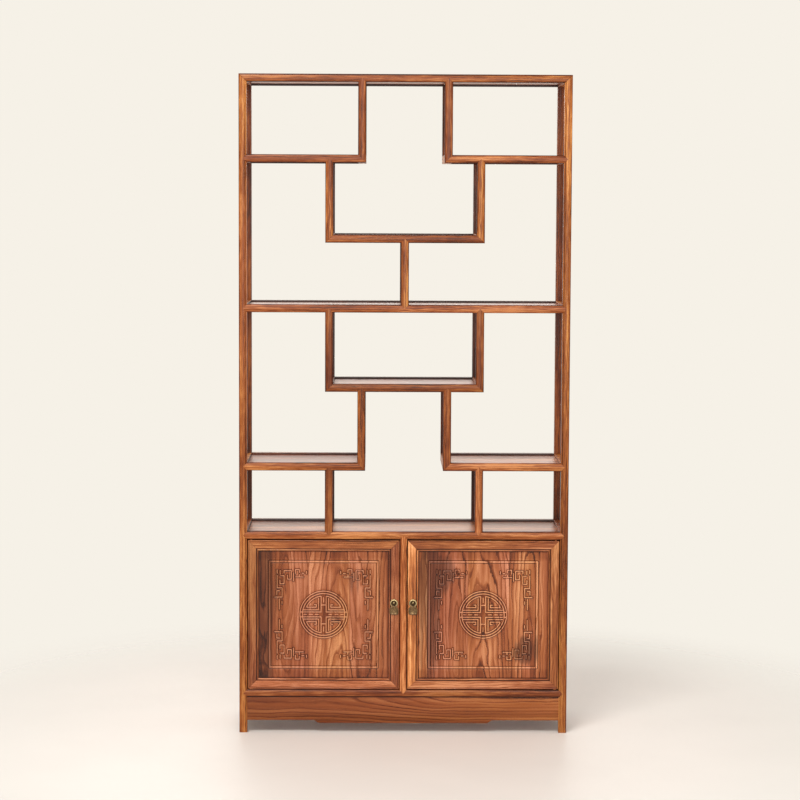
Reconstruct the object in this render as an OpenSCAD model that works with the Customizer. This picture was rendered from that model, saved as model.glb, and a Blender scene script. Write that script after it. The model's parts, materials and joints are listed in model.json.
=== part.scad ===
// Open display lattice in hardwood over a two-door cabinet.
// X runs to the right, Y to the back and Z up. The origin is on the floor, under the middle.
// Left-hand pieces are described once and mirrored to the right.

/* [Overall] */
// Width over the posts
cab_w = 1000; // [900:10:1200]
// Depth over the posts
cab_d = 300; // [240:5:400]
// Height from the floor to the top
cab_h = 2000; // [1900:10:2200]

/* [Members] */
// Side of the square posts
post_t = 24; // [22:1:30]
// Height of the rails
rail_h = 24; // [22:1:30]
// Depth of rails and uprights, front to back
rail_d = 24; // [22:1:30]
// Width of the uprights between the shelves
upright_w = 24; // [20:1:28]
// Bulge of the front faces
crown = 2; // [1:0.5:3]
// Width of the bead along the inner edge of a front post
bead_w = 4; // [3:0.5:5]

/* [Lattice] */
// Top tier, from the top down to the upper side shelves
tier1_h = 240; // [180:5:280]
// Second tier, down to the upper middle shelf
tier2_h = 240; // [180:5:280]
// Third tier, down to the long shelf
tier3_h = 210; // [160:5:250]
// Fourth tier, down to the lower middle shelf
tier4_h = 240; // [180:5:280]
// Fifth tier, down to the lower side shelves
tier5_h = 240; // [180:5:280]
// Sixth tier, down to the cabinet top
tier6_h = 210; // [160:5:250]
// Clear width of the narrow middle niches
niche_in_w = 236; // [200:4:300]
// Clear width of the wide middle niches
niche_out_w = 432; // [380:4:500]

/* [Shelf panels] */
// Thickness of a shelf panel
panel_t = 12; // [10:1:14]
// How far a panel lies below the rails round it
panel_drop = 6; // [3:0.5:7]
// Thickness of the tongue round a panel
tongue_t = 5; // [4:0.5:6]
// Length of that tongue
tongue_l = 5; // [3:0.5:6]

/* [Cabinet] */
// Height of the base frame's top above the floor
base_z = 133; // [110:1:160]
// Thickness of the side and back panels
board_t = 10; // [8:1:12]
// Width of the mullion between the doors
mullion_w = 23; // [18:1:30]
// Thickness of the aprons
apron_t = 12; // [10:1:14]
// How far the aprons stand back from the faces of the posts
apron_back = 3; // [1:0.5:4]
// How far the aprons reach into the posts
apron_in = 5; // [3:0.5:5]
// Height of the aprons above the floor
apron_lift = 38; // [25:1:50]
// How much lower the middle of the front apron hangs
apron_sag = 9; // [4:1:14]
// Half length of that lower middle
sag_half = 255; // [180:5:320]
// Width of the curved step beside it
step_w = 20; // [12:1:30]

/* [Doors] */
// Thickness of a door
door_t = 20; // [18:1:22]
// How far the doors stand back from the posts' faces
door_back = 2; // [1:0.5:3]
// Width of the stiles and rails of a door
member_w = 32; // [28:1:40]
// Diameter of the bead round the outer edge of a door
rim_d = 3.6; // [3:0.2:4]
// Diameter of the bead round its panel
inner_d = 4.8; // [4:0.2:5]
// Depth of the grooves beside the beads
sunk = 1.6; // [1:0.1:1.8]
// Width of those grooves
quirk_w = 0.7; // [0.5:0.1:1]
// Gap between a door and its post
hinge_gap = 2.5; // [2:0.5:4]
// Gap between a door and the mullion
meet_gap = 1.5; // [1:0.5:3]
// Gap over a door
top_gap = 3; // [2:0.5:5]
// Gap under a door
foot_gap = 2.5; // [1.5:0.5:4]
// Thickness of a door panel
leaf_t = 8; // [7:0.5:10]
// How far a door panel stands back from the face of its frame
leaf_back = 5; // [4:0.5:6]
// Diameter of the pivot pins
pivot_d = 6; // [4:0.5:7]
// Diameter of the collar that carries a door on its lower pin
collar_d = 11; // [9:0.5:12]
// Length of a pivot pin inside the rail
pivot_l = 6; // [4:0.5:10]
// Pivot axis, in from the hinge edge of the door
pivot_in = 10; // [9:0.5:12]
// Pivot axis, back from the face of the door
pivot_back = 6; // [5:0.5:6.5]

/* [Carving] */
// Height of the carved lines
relief = 1.2; // [0.8:0.1:2]
// Width of a carved line
line_w = 3; // [2:0.5:4]
// Plain margin between the door frame and the border
margin = 30; // [20:1:40]
// Width over the double line of the border
border_w = 13; // [10:1:16]
// Outer diameter of the round medallion
medallion_d = 148; // [120:2:160]
// Distance between the centre lines of the medallion's two rings
ring_gap = 7; // [6:0.5:10]
// Distance between the centre lines of the medallion's paired bars
bar_gap = 12; // [9:0.5:16]

/* [Handles] */
// Height of the handles above the middle of the doors
handle_up = 35.75; // [0:0.25:80]
// Diameter of the back plate
plate_d = 25; // [20:1:30]
// Thickness of the back plate
plate_t = 1.5; // [1:0.25:2.5]
// Radius of the staple, to the middle of its wire
staple_r = 4.5; // [4.5:0.25:6]
// Diameter of the staple's wire
staple_d = 3; // [2.5:0.25:3]
// Length of the staple's legs in the door
staple_leg = 12; // [8:1:14]
// Radius of the drop's ring, to the middle of its wire
ring_r = 4.2; // [4.2:0.2:6]
// Diameter of the ring's wire
ring_d = 1.8; // [1.4:0.1:1.8]
// Length of the drop below its ring
drop_l = 25; // [20:1:35]
// Width of the drop at its foot
drop_w = 28; // [20:1:32]
// Width of the drop at its neck
neck_w = 8; // [6:1:10]
// Thickness of the drop
drop_t = 1.6; // [1.2:0.1:1.8]
// Rise of the rounded foot of the drop
foot_rise = 5.5; // [3:0.5:8]

/* [Catches] */
// Width of a catch block
catch_w = 32; // [24:1:40]
// Thickness of a catch block, front to back
catch_t = 14; // [10:1:20]
// How far a catch block hangs below the rail
catch_hang = 18; // [14:1:24]
// Diameter of a magnet and of its strike plate
magnet_d = 12; // [8:1:13]
// Thickness of a strike plate
strike_t = 1; // [0.5:0.1:1.4]
// Depth of a magnet's bore in its block
magnet_in = 5; // [3:0.5:8]
// Least wood left round a magnet
magnet_rim = 1; // [0.5:0.5:2]

/* [Fits] */
// Clearance round a tenon, a tongue or a staple's leg
slack = 0.1; // [0.05:0.05:0.2]
// Gap left round a floating panel and at resting metal
rest_gap = 0.3; // [0.2:0.05:0.4]
// Gap between the drop's ring and the back plate
plate_gap = 0.5; // [0.4:0.1:0.6]
// Radial clearance of a pivot pin
pivot_slack = 0.05; // [0.02:0.01:0.1]
// Thickness of a tenon
tenon_t = 7; // [5:0.5:8]
// Shoulder above and below a tenon
shoulder = 5; // [4:0.5:6]
// Length of the tenons on the uprights
stub_l = 8; // [5:0.5:9]

/* [Hidden] */
WOOD = [0.64, 0.36, 0.20];
PANEL = [0.70, 0.42, 0.25];
CARVED = [0.58, 0.30, 0.16];
BRASS = [0.55, 0.47, 0.27];
STEEL = [0.70, 0.70, 0.72];
ROUND = 96;
FINE = 48;
// Wood left between two tenons that meet in one post
tenon_web = 0.6;
tenon_l = (post_t - tenon_t) / 2 - tenon_web;
tenon_h = rail_h - 2 * shoulder;
// Depth of the pointed nibs that a joint shows on the front
nib_d = 5;
// How far joined shapes reach into each other
bite = 0.5;
// How far a cutting shape runs past what it cuts
over = 1;
// Straight steps in each curve of the front apron
curve_steps = 12;
// Inner faces of the posts and of the rails, from the middle
xi = cab_w / 2 - post_t;
yp = cab_d / 2 - post_t;
yi = cab_d / 2 - rail_d;
// Tops of the shelves
z1 = cab_h - tier1_h;
z2 = z1 - tier2_h;
z3 = z2 - tier3_h;
z4 = z3 - tier4_h;
z5 = z4 - tier5_h;
z6 = z5 - tier6_h;
// Middle of the inner and of the outer uprights
x_in = niche_in_w / 2 + upright_w / 2;
x_out = niche_out_w / 2 + upright_w / 2;
post_tops = [z1, z3, z5, z6, base_z];
// Box of the left door
dx0 = -xi + hinge_gap;
dx1 = -mullion_w / 2 - meet_gap;
dy0 = -cab_d / 2 + door_back;
dz0 = base_z + foot_gap;
dz1 = z6 - rail_h - top_gap;
handle_x = dx1 - member_w / 2;
handle_z = (dz0 + dz1) / 2 + handle_up;
groove_l = tongue_l + rest_gap;
plate_y = dy0 - plate_t;
// The ring of the drop hangs inside the staple and turns about its own top wire
hang_r = staple_r - staple_d / 2 - ring_d / 2 - rest_gap;
hang_y = -(ring_d / 2 + plate_gap);
hang_z = -sqrt(hang_r * hang_r - hang_y * hang_y);
catch_top = z6 - panel_drop - panel_t;
catch_foot = z6 - rail_h - catch_hang;
magnet_z = min(catch_foot, dz1 - magnet_d - 2 * magnet_rim) + magnet_rim + magnet_d / 2;

// Radius of a face that bulges by crown over a width
function face_r(w) = (w * w / 4 + crown * crown) / (2 * crown);

// Flat outline in the XZ plane, thickened from y0 back to y1
module xz_prism(points, y0, y1) {
    translate([0, y1, 0]) rotate([90, 0, 0]) linear_extrude(y1 - y0) polygon(points);
}

module box(lo, hi) {
    translate(lo) cube(hi - lo);
}

// Section with a bulging or a flat front: w across, d front to back
module bar_section(w, d, bulge) {
    if (bulge)
        intersection() {
            square([w, d]);
            translate([w / 2, face_r(w)]) circle(r = face_r(w), $fn = ROUND);
        }
    else
        square([w, d]);
}

// Bar along X with its outer face at the front: top of the rail at z
module bar_x(x0, x1, z, bulge) {
    translate([x0, -cab_d / 2, z]) rotate([0, 90, 0]) linear_extrude(x1 - x0)
        bar_section(rail_h, rail_d, bulge);
}

// Bar along Z about xc
module bar_z(xc, w, foot, head, bulge) {
    translate([xc - w / 2, -cab_d / 2, foot]) linear_extrude(head - foot) bar_section(w, rail_d, bulge);
}

// Tenon of a rail that enters a post whose inner face is at x: side is -1 to the left, 1 to the right
module rail_tenon(x, side, z, slack = 0) {
    x0 = side < 0 ? x - tenon_l - slack : x - bite;
    yc = -cab_d / 2 + rail_d / 2;
    translate([x0, yc - tenon_t / 2 - slack, z - rail_h + shoulder - slack])
        cube([tenon_l + bite + slack, tenon_t + 2 * slack, tenon_h + 2 * slack]);
}

// Pointed nib of a rail that laps onto the face of a post
module rail_nib(x, side, z) {
    tip = x + side * post_t / 2;
    xz_prism([[x, z], [x, z - rail_h], [tip, z - rail_h / 2]], -cab_d / 2 - over, -cab_d / 2 + nib_d);
}

// Tenon of an upright: dir is 1 up into a rail, -1 down into a rail, from the level z
module upright_tenon(xc, w, z, dir, slack = 0) {
    foot = dir > 0 ? z - bite : z - stub_l - slack;
    yc = -cab_d / 2 + rail_d / 2;
    translate([xc - w / 2 + shoulder - slack, yc - tenon_t / 2 - slack, foot])
        cube([w - 2 * shoulder + 2 * slack, tenon_t + 2 * slack, stub_l + bite + slack]);
}

// Pointed nib of an upright that laps onto the face of a rail
module upright_nib(xc, w, z, dir) {
    tip = z + dir * rail_h / 2;
    xz_prism([[xc - w / 2, z], [xc + w / 2, z], [xc, tip]], -cab_d / 2 - over, -cab_d / 2 + nib_d);
}

// Stub tenon of a side rail, through the plane y towards the front, about xc
module side_tenon(xc, y, z, slack = 0) {
    translate([xc - tenon_t / 2 - slack, y - tenon_l - slack, z - rail_h + shoulder - slack])
        cube([tenon_t + 2 * slack, tenon_l + slack + bite, tenon_h + 2 * slack]);
}

// The half of a shelf's corner that belongs to the upright: side is that of the shelf's end at x
module corner_of_upright(x, side, z) {
    in = x - side * upright_w;
    out = x + side * over;
    xz_prism([[in, z], [x, z - rail_h], [out, z - rail_h], [out, z + over], [in, z + over]],
        -cab_d / 2 - over, -cab_d / 2 + rail_d + over);
}

// The half that belongs to the rail
module corner_of_rail(x, side, z) {
    in = x - side * upright_w;
    far = in - side * over;
    foot = z - rail_h - over;
    xz_prism([[in, z], [x, z - rail_h], [x, foot], [far, foot], [far, z]],
        -cab_d / 2 - over, -cab_d / 2 + rail_d + over);
}

// Slot for the tongue of a shelf panel, in the back of a rail
module rail_groove(x0, x1, z) {
    zc = z - panel_drop - panel_t / 2;
    box([x0, -yi - groove_l, zc - tongue_t / 2 - slack], [x1, -yi + bite, zc + tongue_t / 2 + slack]);
}

// Slot for the tongue of a shelf panel, in the side of a side rail whose inner face is at x
module side_groove(x, side, y, z) {
    zc = z - panel_drop - panel_t / 2;
    x0 = side < 0 ? x - groove_l : x - bite;
    box([x0, -y, zc - tongue_t / 2 - slack], [x0 + groove_l + bite, y, zc + tongue_t / 2 + slack]);
}

// Long rail of a shelf. An end is "post" or "corner". below and above list [x, width] of uprights
module shelf_rail(x0, x1, z, bulge, end0, end1, below, above) {
    xa = end0 == "post" ? x0 + post_t : x0;
    xb = end1 == "post" ? x1 - post_t : x1;
    in0 = end0 == "post" ? xa : xa + upright_w;
    in1 = end1 == "post" ? xb : xb - upright_w;
    difference() {
        union() {
            bar_x(xa, xb, z, bulge);
            for (e = [[end0, xa, -1], [end1, xb, 1]])
                if (e[0] == "post") {
                    rail_tenon(e[1], e[2], z);
                    if (bulge)
                        intersection() {
                            rail_nib(e[1], e[2], z);
                            bar_x(x0, x1, z, bulge);
                        }
                }
        }
        for (e = [[end0, xa, -1], [end1, xb, 1]])
            if (e[0] == "corner") {
                corner_of_upright(e[1], e[2], z);
                side_tenon(e[1] - e[2] * upright_w / 2, -yi, z, slack);
            }
        for (u = below) {
            upright_tenon(u[0], u[1], z - rail_h, 1, slack);
            if (bulge) upright_nib(u[0], u[1], z - rail_h, 1);
        }
        for (u = above) {
            upright_tenon(u[0], u[1], z, -1, slack);
            if (bulge) upright_nib(u[0], u[1], z, -1);
        }
        rail_groove(in0, in1, z);
    }
}

// Side rail between two posts, flush with them
module outer_side_rail(z) {
    ends = yp;
    difference() {
        union() {
            box([-cab_w / 2, -ends, z - rail_h], [-xi, ends, z]);
            side_tenon(-cab_w / 2 + post_t / 2, -ends, z);
            mirror([0, 1, 0]) side_tenon(-cab_w / 2 + post_t / 2, -ends, z);
        }
        side_groove(-xi, -1, min(yi, yp), z);
    }
}

// Side rail at a shelf's corner, whose outer face is at x
module inner_side_rail(x, side, z) {
    in = x - side * upright_w;
    difference() {
        union() {
            box([min(x, in), -yi, z - rail_h], [max(x, in), yi, z]);
            side_tenon(x - side * upright_w / 2, -yi, z);
            mirror([0, 1, 0]) side_tenon(x - side * upright_w / 2, -yi, z);
        }
        side_groove(in, side, yi, z);
    }
}

// Frame of one shelf: front and rear rails with a side rail at each end
module shelf_frame(x0, x1, z, end0, end1, below = [], above = []) {
    color(WOOD) {
        shelf_rail(x0, x1, z, true, end0, end1, below, above);
        mirror([0, 1, 0]) shelf_rail(x0, x1, z, false, end0, end1, below, above);
        if (end0 == "post") outer_side_rail(z);
        else inner_side_rail(x0, -1, z);
        if (end1 == "post") mirror([1, 0, 0]) outer_side_rail(z);
        else inner_side_rail(x1, 1, z);
    }
}

// Floating panel of one shelf, with a tongue into each rail
module shelf_panel(x0, x1, z, end0, end1) {
    xa = x0 + (end0 == "post" ? post_t : upright_w);
    xb = x1 - (end1 == "post" ? post_t : upright_w);
    zt = z - panel_drop;
    zc = zt - panel_t / 2;
    ys = min(yi, yp) - rest_gap;
    color(PANEL) {
        box([xa + rest_gap, -yi + rest_gap, zt - panel_t], [xb - rest_gap, yi - rest_gap, zt]);
        box([xa - tongue_l, -ys, zc - tongue_t / 2], [xb + tongue_l, ys, zc + tongue_t / 2]);
        box([xa + rest_gap, -yi - tongue_l, zc - tongue_t / 2],
            [xb - rest_gap, yi + tongue_l, zc + tongue_t / 2]);
    }
}

// One upright. A foot of 0 stands on a rail, -1 or 1 is mitred to that end of a shelf
module upright(xc, w, z_foot, z_head, bulge, foot) {
    base = foot == 0 ? z_foot : z_foot - rail_h;
    difference() {
        union() {
            bar_z(xc, w, base, z_head, bulge);
            upright_tenon(xc, w, z_head, 1);
            if (foot == 0) upright_tenon(xc, w, base, -1);
            if (bulge)
                intersection() {
                    union() {
                        upright_nib(xc, w, z_head, 1);
                        if (foot == 0) upright_nib(xc, w, base, -1);
                    }
                    bar_z(xc, w, base - rail_h, z_head + rail_h, bulge);
                }
        }
        if (foot != 0) {
            corner_of_rail(xc + foot * w / 2, foot, z_foot);
            side_tenon(xc, -yi, z_foot, slack);
        }
    }
}

module upright_pair(xc, z_foot, z_head, foot) {
    color(WOOD) {
        upright(xc, upright_w, z_foot, z_head, true, foot);
        mirror([0, 1, 0]) upright(xc, upright_w, z_foot, z_head, false, foot);
    }
}

// Shelves and uprights of the lattice
module upper_left_shelf_frame() {
    shelf_frame(-cab_w / 2, -niche_in_w / 2, z1, "post", "corner", below = [[-x_out, upright_w]]);
}

module upper_left_shelf_panel() {
    shelf_panel(-cab_w / 2, -niche_in_w / 2, z1, "post", "corner");
}

module lower_left_shelf_frame() {
    shelf_frame(-cab_w / 2, -niche_in_w / 2, z5, "post", "corner", below = [[-x_out, upright_w]]);
}

module lower_left_shelf_panel() {
    shelf_panel(-cab_w / 2, -niche_in_w / 2, z5, "post", "corner");
}

module upper_middle_shelf_frame() {
    end = niche_out_w / 2 + upright_w;
    shelf_frame(-end, end, z2, "corner", "corner", below = [[0, upright_w]]);
}

module lower_middle_shelf_frame() {
    end = niche_out_w / 2 + upright_w;
    shelf_frame(-end, end, z4, "corner", "corner", below = [[-x_in, upright_w], [x_in, upright_w]]);
}

module middle_shelf_panel(z) {
    end = niche_out_w / 2 + upright_w;
    shelf_panel(-end, end, z, "corner", "corner");
}

module long_shelf_frame() {
    shelf_frame(-cab_w / 2, cab_w / 2, z3, "post", "post",
        below = [[-x_out, upright_w], [x_out, upright_w]], above = [[0, upright_w]]);
}

module full_panel(z) {
    shelf_panel(-cab_w / 2, cab_w / 2, z, "post", "post");
}

module tier1_left_uprights() { upright_pair(-x_in, z1, cab_h - rail_h, 1); }

module tier2_left_uprights() { upright_pair(-x_out, z2, z1 - rail_h, -1); }

module tier3_uprights() { upright_pair(0, z3, z2 - rail_h, 0); }

module tier4_left_uprights() { upright_pair(-x_out, z4, z3 - rail_h, -1); }

module tier5_left_uprights() { upright_pair(-x_in, z5, z4 - rail_h, 1); }

module tier6_left_uprights() { upright_pair(-x_out, z6, z5 - rail_h, 0); }

// Section of a post: the front ones have a bulging band and a bead along the inner edge
module post_section(front) {
    band_w = post_t - bead_w;
    if (front) {
        translate([0, crown]) square([post_t, post_t - crown]);
        intersection() {
            square([band_w, post_t]);
            translate([band_w / 2, face_r(band_w)]) circle(r = face_r(band_w), $fn = ROUND);
        }
        translate([post_t - bead_w / 2, bead_w / 2]) circle(d = bead_w, $fn = FINE);
    } else
        square([post_t, post_t]);
}

// The half of the top corner above the mitre
module top_corner_upper() {
    foot = cab_h - rail_h;
    head = cab_h + over;
    xz_prism([[-cab_w / 2, cab_h], [-xi, foot], [-xi + over, foot], [-xi + over, head], [-cab_w / 2, head]],
        -cab_d / 2 - over, -cab_d / 2 + max(rail_d, post_t) + over);
}

// The half below it
module top_corner_lower() {
    foot = cab_h - rail_h;
    out = -cab_w / 2 - over;
    xz_prism([[-cab_w / 2, cab_h], [-xi, foot], [-xi, foot - over], [out, foot - over], [out, cab_h]],
        -cab_d / 2 - over, -cab_d / 2 + max(rail_d, post_t) + over);
}

// Pocket of a top side rail's tenon in the corner
module top_side_pocket() {
    side_tenon(-cab_w / 2 + post_t / 2, -cab_d / 2 + max(rail_d, post_t), cab_h, slack);
}

// Ends of the aprons in a left post
module apron_slots() {
    top = base_z - rail_h;
    y0 = -cab_d / 2 + apron_back;
    x0 = -cab_w / 2 + apron_back;
    box([-xi - apron_in - slack, y0 - slack, apron_lift - slack], [-xi + bite, y0 + apron_t + slack, top]);
    box([x0 - slack, -yp - apron_in - slack, apron_lift - slack], [x0 + apron_t + slack, -yp + bite, top]);
}

module left_post(front) {
    color(WOOD)
        difference() {
            translate([-cab_w / 2, -cab_d / 2, 0]) linear_extrude(cab_h) post_section(front);
            top_corner_upper();
            top_side_pocket();
            for (z = post_tops) {
                rail_tenon(-xi, -1, z, slack);
                if (front) rail_nib(-xi, -1, z);
                side_tenon(-cab_w / 2 + post_t / 2, -yp, z, slack);
            }
            apron_slots();
            side_board_tongue(groove_l, slack);
            if (!front) mirror([0, 1, 0]) back_board_tongue(groove_l, slack);
        }
}

module top_rail(bulge) {
    difference() {
        bar_x(-cab_w / 2, cab_w / 2, cab_h, bulge);
        for (s = [0, 1])
            mirror([s, 0, 0]) {
                top_corner_lower();
                top_side_pocket();
                upright_tenon(-x_in, upright_w, cab_h - rail_h, 1, slack);
                if (bulge) upright_nib(-x_in, upright_w, cab_h - rail_h, 1);
            }
        rail_groove(-xi, xi, cab_h);
    }
}

module top_side_rail() {
    ends = cab_d / 2 - max(rail_d, post_t);
    difference() {
        union() {
            box([-cab_w / 2, -ends, cab_h - rail_h], [-xi, ends, cab_h]);
            side_tenon(-cab_w / 2 + post_t / 2, -ends, cab_h);
            mirror([0, 1, 0]) side_tenon(-cab_w / 2 + post_t / 2, -ends, cab_h);
        }
        side_groove(-xi, -1, min(yi, yp), cab_h);
    }
}

module top_frame() {
    color(WOOD) {
        top_rail(true);
        mirror([0, 1, 0]) top_rail(false);
        for (s = [0, 1]) mirror([s, 0, 0]) top_side_rail();
    }
}

// Tongue of the left side panel, also the shape of the slots that take it
module side_board_tongue(reach, wide) {
    xc = -cab_w / 2 + post_t / 2;
    t = tongue_t / 2 + wide;
    short = wide > 0 ? 0 : rest_gap;
    y = yp - short;
    box([xc - t, -yp - reach, base_z + short], [xc + t, yp + reach, z6 - rail_h - short]);
    box([xc - t, -y, base_z - reach], [xc + t, y, z6 - rail_h + reach]);
}

module left_side_board() {
    xc = -cab_w / 2 + post_t / 2;
    color(PANEL) {
        box([xc - board_t / 2, -yp + rest_gap, base_z + rest_gap],
            [xc + board_t / 2, yp - rest_gap, z6 - rail_h - rest_gap]);
        side_board_tongue(tongue_l, 0);
    }
}

// Tongue of the back panel and the shape of its slots, drawn at the rear
module back_board_tongue(reach, wide) {
    yc = cab_d / 2 - rail_d / 2;
    t = tongue_t / 2 + wide;
    short = wide > 0 ? 0 : rest_gap;
    x = xi - short;
    box([-xi - reach, yc - t, base_z + short], [xi + reach, yc + t, z6 - rail_h - short]);
    box([-x, yc - t, base_z - reach], [x, yc + t, z6 - rail_h + reach]);
}

module back_panel() {
    yc = cab_d / 2 - rail_d / 2;
    color(PANEL) {
        box([-xi + rest_gap, yc - board_t / 2, base_z + rest_gap],
            [xi - rest_gap, yc + board_t / 2, z6 - rail_h - rest_gap]);
        back_board_tongue(tongue_l, 0);
    }
}

// Bore for a pivot pin, from the level z upwards or downwards
module pivot_bores(z, dir) {
    depth = pivot_l + rest_gap;
    for (s = [0, 1])
        mirror([s, 0, 0])
            translate([dx0 + pivot_in, dy0 + pivot_back, dir > 0 ? z - bite : z - depth])
                cylinder(r = pivot_d / 2 + pivot_slack, h = depth + bite, $fn = FINE);
}

module board_slots() {
    for (s = [0, 1]) mirror([s, 0, 0]) side_board_tongue(groove_l, slack);
    back_board_tongue(groove_l, slack);
}

module cabinet_top_frame() {
    difference() {
        shelf_frame(-cab_w / 2, cab_w / 2, z6, "post", "post",
            below = [[0, mullion_w]], above = [[-x_out, upright_w], [x_out, upright_w]]);
        pivot_bores(z6 - rail_h, 1);
        board_slots();
    }
}

module base_frame() {
    difference() {
        shelf_frame(-cab_w / 2, cab_w / 2, base_z, "post", "post", above = [[0, mullion_w]]);
        pivot_bores(base_z, -1);
        board_slots();
    }
}

module door_mullion() {
    color(WOOD) upright(0, mullion_w, base_z, z6 - rail_h, true, 0);
}

// Lower edge of the front apron, right half: a curved step between two levels
function step_points() = [for (i = [0:curve_steps])
    [sag_half + step_w * i / curve_steps, apron_lift - apron_sag * (1 + cos(180 * i / curve_steps)) / 2]];

module front_apron() {
    top = base_z - rail_h;
    y0 = -cab_d / 2 + apron_back;
    right = step_points();
    left = [for (i = [curve_steps:-1:0]) [-right[i][0], right[i][1]]];
    end = xi + apron_in;
    color(WOOD)
        xz_prism(concat(left, right, [[end, apron_lift], [end, top], [-end, top], [-end, apron_lift]]),
            y0, y0 + apron_t);
}

module rear_apron() {
    y1 = cab_d / 2 - apron_back;
    end = xi + apron_in;
    color(WOOD) box([-end, y1 - apron_t, apron_lift], [end, y1, base_z - rail_h]);
}

module left_apron() {
    x0 = -cab_w / 2 + apron_back;
    end = yp + apron_in;
    color(WOOD) box([x0, -end, apron_lift], [x0 + apron_t, end, base_z - rail_h]);
}

// Disc between two planes, shared by a magnet, its bore and its strike plate
module magnet_disc(y0, y1, wide = 0) {
    translate([handle_x, y0, magnet_z]) rotate([-90, 0, 0])
        cylinder(d = magnet_d + 2 * wide, h = y1 - y0, $fn = FINE);
}

// Catch block behind the rail over the left door
module left_catch() {
    x0 = handle_x - catch_w / 2;
    color(WOOD)
        difference() {
            box([x0, -yi, catch_foot], [x0 + catch_w, -yi + catch_t, catch_top]);
            magnet_disc(-yi - over, -yi + magnet_in, slack);
        }
}

module left_magnet() {
    color(STEEL) magnet_disc(dy0 + door_t + strike_t + rest_gap, -yi + magnet_in);
}

// Section of a door's stiles and rails, from the outer edge, front at 0
module member_section() {
    face0 = rim_d + quirk_w;
    face1 = member_w - inner_d - quirk_w;
    leaf_c = leaf_back + leaf_t / 2;
    difference() {
        union() {
            translate([0, sunk]) square([member_w, door_t - sunk]);
            translate([face0, 0]) square([face1 - face0, door_t]);
            translate([rim_d / 2, rim_d / 2]) circle(d = rim_d, $fn = FINE);
            translate([member_w - inner_d / 2, inner_d / 2]) circle(d = inner_d, $fn = FINE);
        }
        translate([member_w - groove_l, leaf_c - tongue_t / 2 - slack])
            square([groove_l + bite, tongue_t + 2 * slack]);
    }
}

// Outline of one mitred member: the corners of its outer edge, then those of its inner edge
module mitred(points) {
    intersection() {
        xz_prism(points, dy0 - over, dy0 + door_t + over);
        children();
    }
}

module pivot_pins() {
    translate([dx0 + pivot_in, dy0 + pivot_back, 0]) {
        translate([0, 0, dz1 - bite]) cylinder(d = pivot_d, h = top_gap + pivot_l + bite, $fn = FINE);
        translate([0, 0, base_z - pivot_l]) cylinder(d = pivot_d, h = foot_gap + pivot_l + bite, $fn = FINE);
        translate([0, 0, base_z + rest_gap])
            cylinder(d = collar_d, h = foot_gap - rest_gap + bite, $fn = FINE);
    }
}

module staple_holes() {
    for (s = [-1, 1])
        translate([handle_x, dy0 - bite, handle_z + s * staple_r]) rotate([-90, 0, 0])
            cylinder(d = staple_d + 2 * slack, h = staple_leg + rest_gap + bite, $fn = FINE);
}

module left_door_frame() {
    w = member_w;
    color(WOOD) {
        union() {
            mitred([[dx0, dz0], [dx0 + w, dz0 + w], [dx0 + w, dz1 - w], [dx0, dz1]])
                translate([dx0, dy0, dz0]) linear_extrude(dz1 - dz0) member_section();
            pivot_pins();
        }
        difference() {
            mitred([[dx1, dz0], [dx1 - w, dz0 + w], [dx1 - w, dz1 - w], [dx1, dz1]])
                translate([dx1, dy0, dz0]) mirror([1, 0, 0]) linear_extrude(dz1 - dz0) member_section();
            staple_holes();
        }
        mitred([[dx0, dz0], [dx0 + w, dz0 + w], [dx1 - w, dz0 + w], [dx1, dz0]])
            translate([dx1, dy0, dz0]) rotate([0, -90, 0]) linear_extrude(dx1 - dx0) member_section();
        mitred([[dx0, dz1], [dx0 + w, dz1 - w], [dx1 - w, dz1 - w], [dx1, dz1]])
            translate([dx1, dy0, dz1]) mirror([0, 0, 1]) rotate([0, -90, 0])
                linear_extrude(dx1 - dx0) member_section();
    }
}

// Raised outline on the face of the door panel
module raised() {
    y = dy0 + leaf_back;
    translate([0, y + bite, 0]) rotate([90, 0, 0]) linear_extrude(relief + bite) children();
}

module ring2d(r) {
    difference() {
        circle(r = r, $fn = ROUND);
        circle(r = r - line_w, $fn = ROUND);
    }
}

module frame2d(w, h) {
    difference() {
        square([w, h], center = true);
        square([w - 2 * line_w, h - 2 * line_w], center = true);
    }
}

// Paired bars across the medallion, kept inside its inner ring
module bars2d(r) {
    intersection() {
        circle(r = r - line_w / 2, $fn = ROUND);
        for (s = [-1, 1]) {
            translate([s * bar_gap / 2, 0]) square([line_w, 2 * r], center = true);
            translate([0, s * bar_gap / 2]) square([2 * r, line_w], center = true);
        }
    }
}

module left_door_panel() {
    x0 = dx0 + member_w;
    x1 = dx1 - member_w;
    za = dz0 + member_w;
    zb = dz1 - member_w;
    y0 = dy0 + leaf_back;
    yc = y0 + leaf_t / 2;
    xc = (x0 + x1) / 2;
    zc = (za + zb) / 2;
    bw = x1 - x0 - 2 * margin;
    bh = zb - za - 2 * margin;
    color(CARVED)
        union() {
            box([x0 + rest_gap, y0, za + rest_gap], [x1 - rest_gap, y0 + leaf_t, zb - rest_gap]);
            box([x0 - tongue_l, yc - tongue_t / 2, za - tongue_l],
                [x1 + tongue_l, yc + tongue_t / 2, zb + tongue_l]);
            raised()
                translate([xc, zc]) {
                    frame2d(bw, bh);
                    frame2d(bw - 2 * (border_w - line_w), bh - 2 * (border_w - line_w));
                    ring2d(medallion_d / 2);
                    ring2d(medallion_d / 2 - ring_gap);
                    bars2d(medallion_d / 2 - ring_gap);
                }
        }
}

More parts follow.
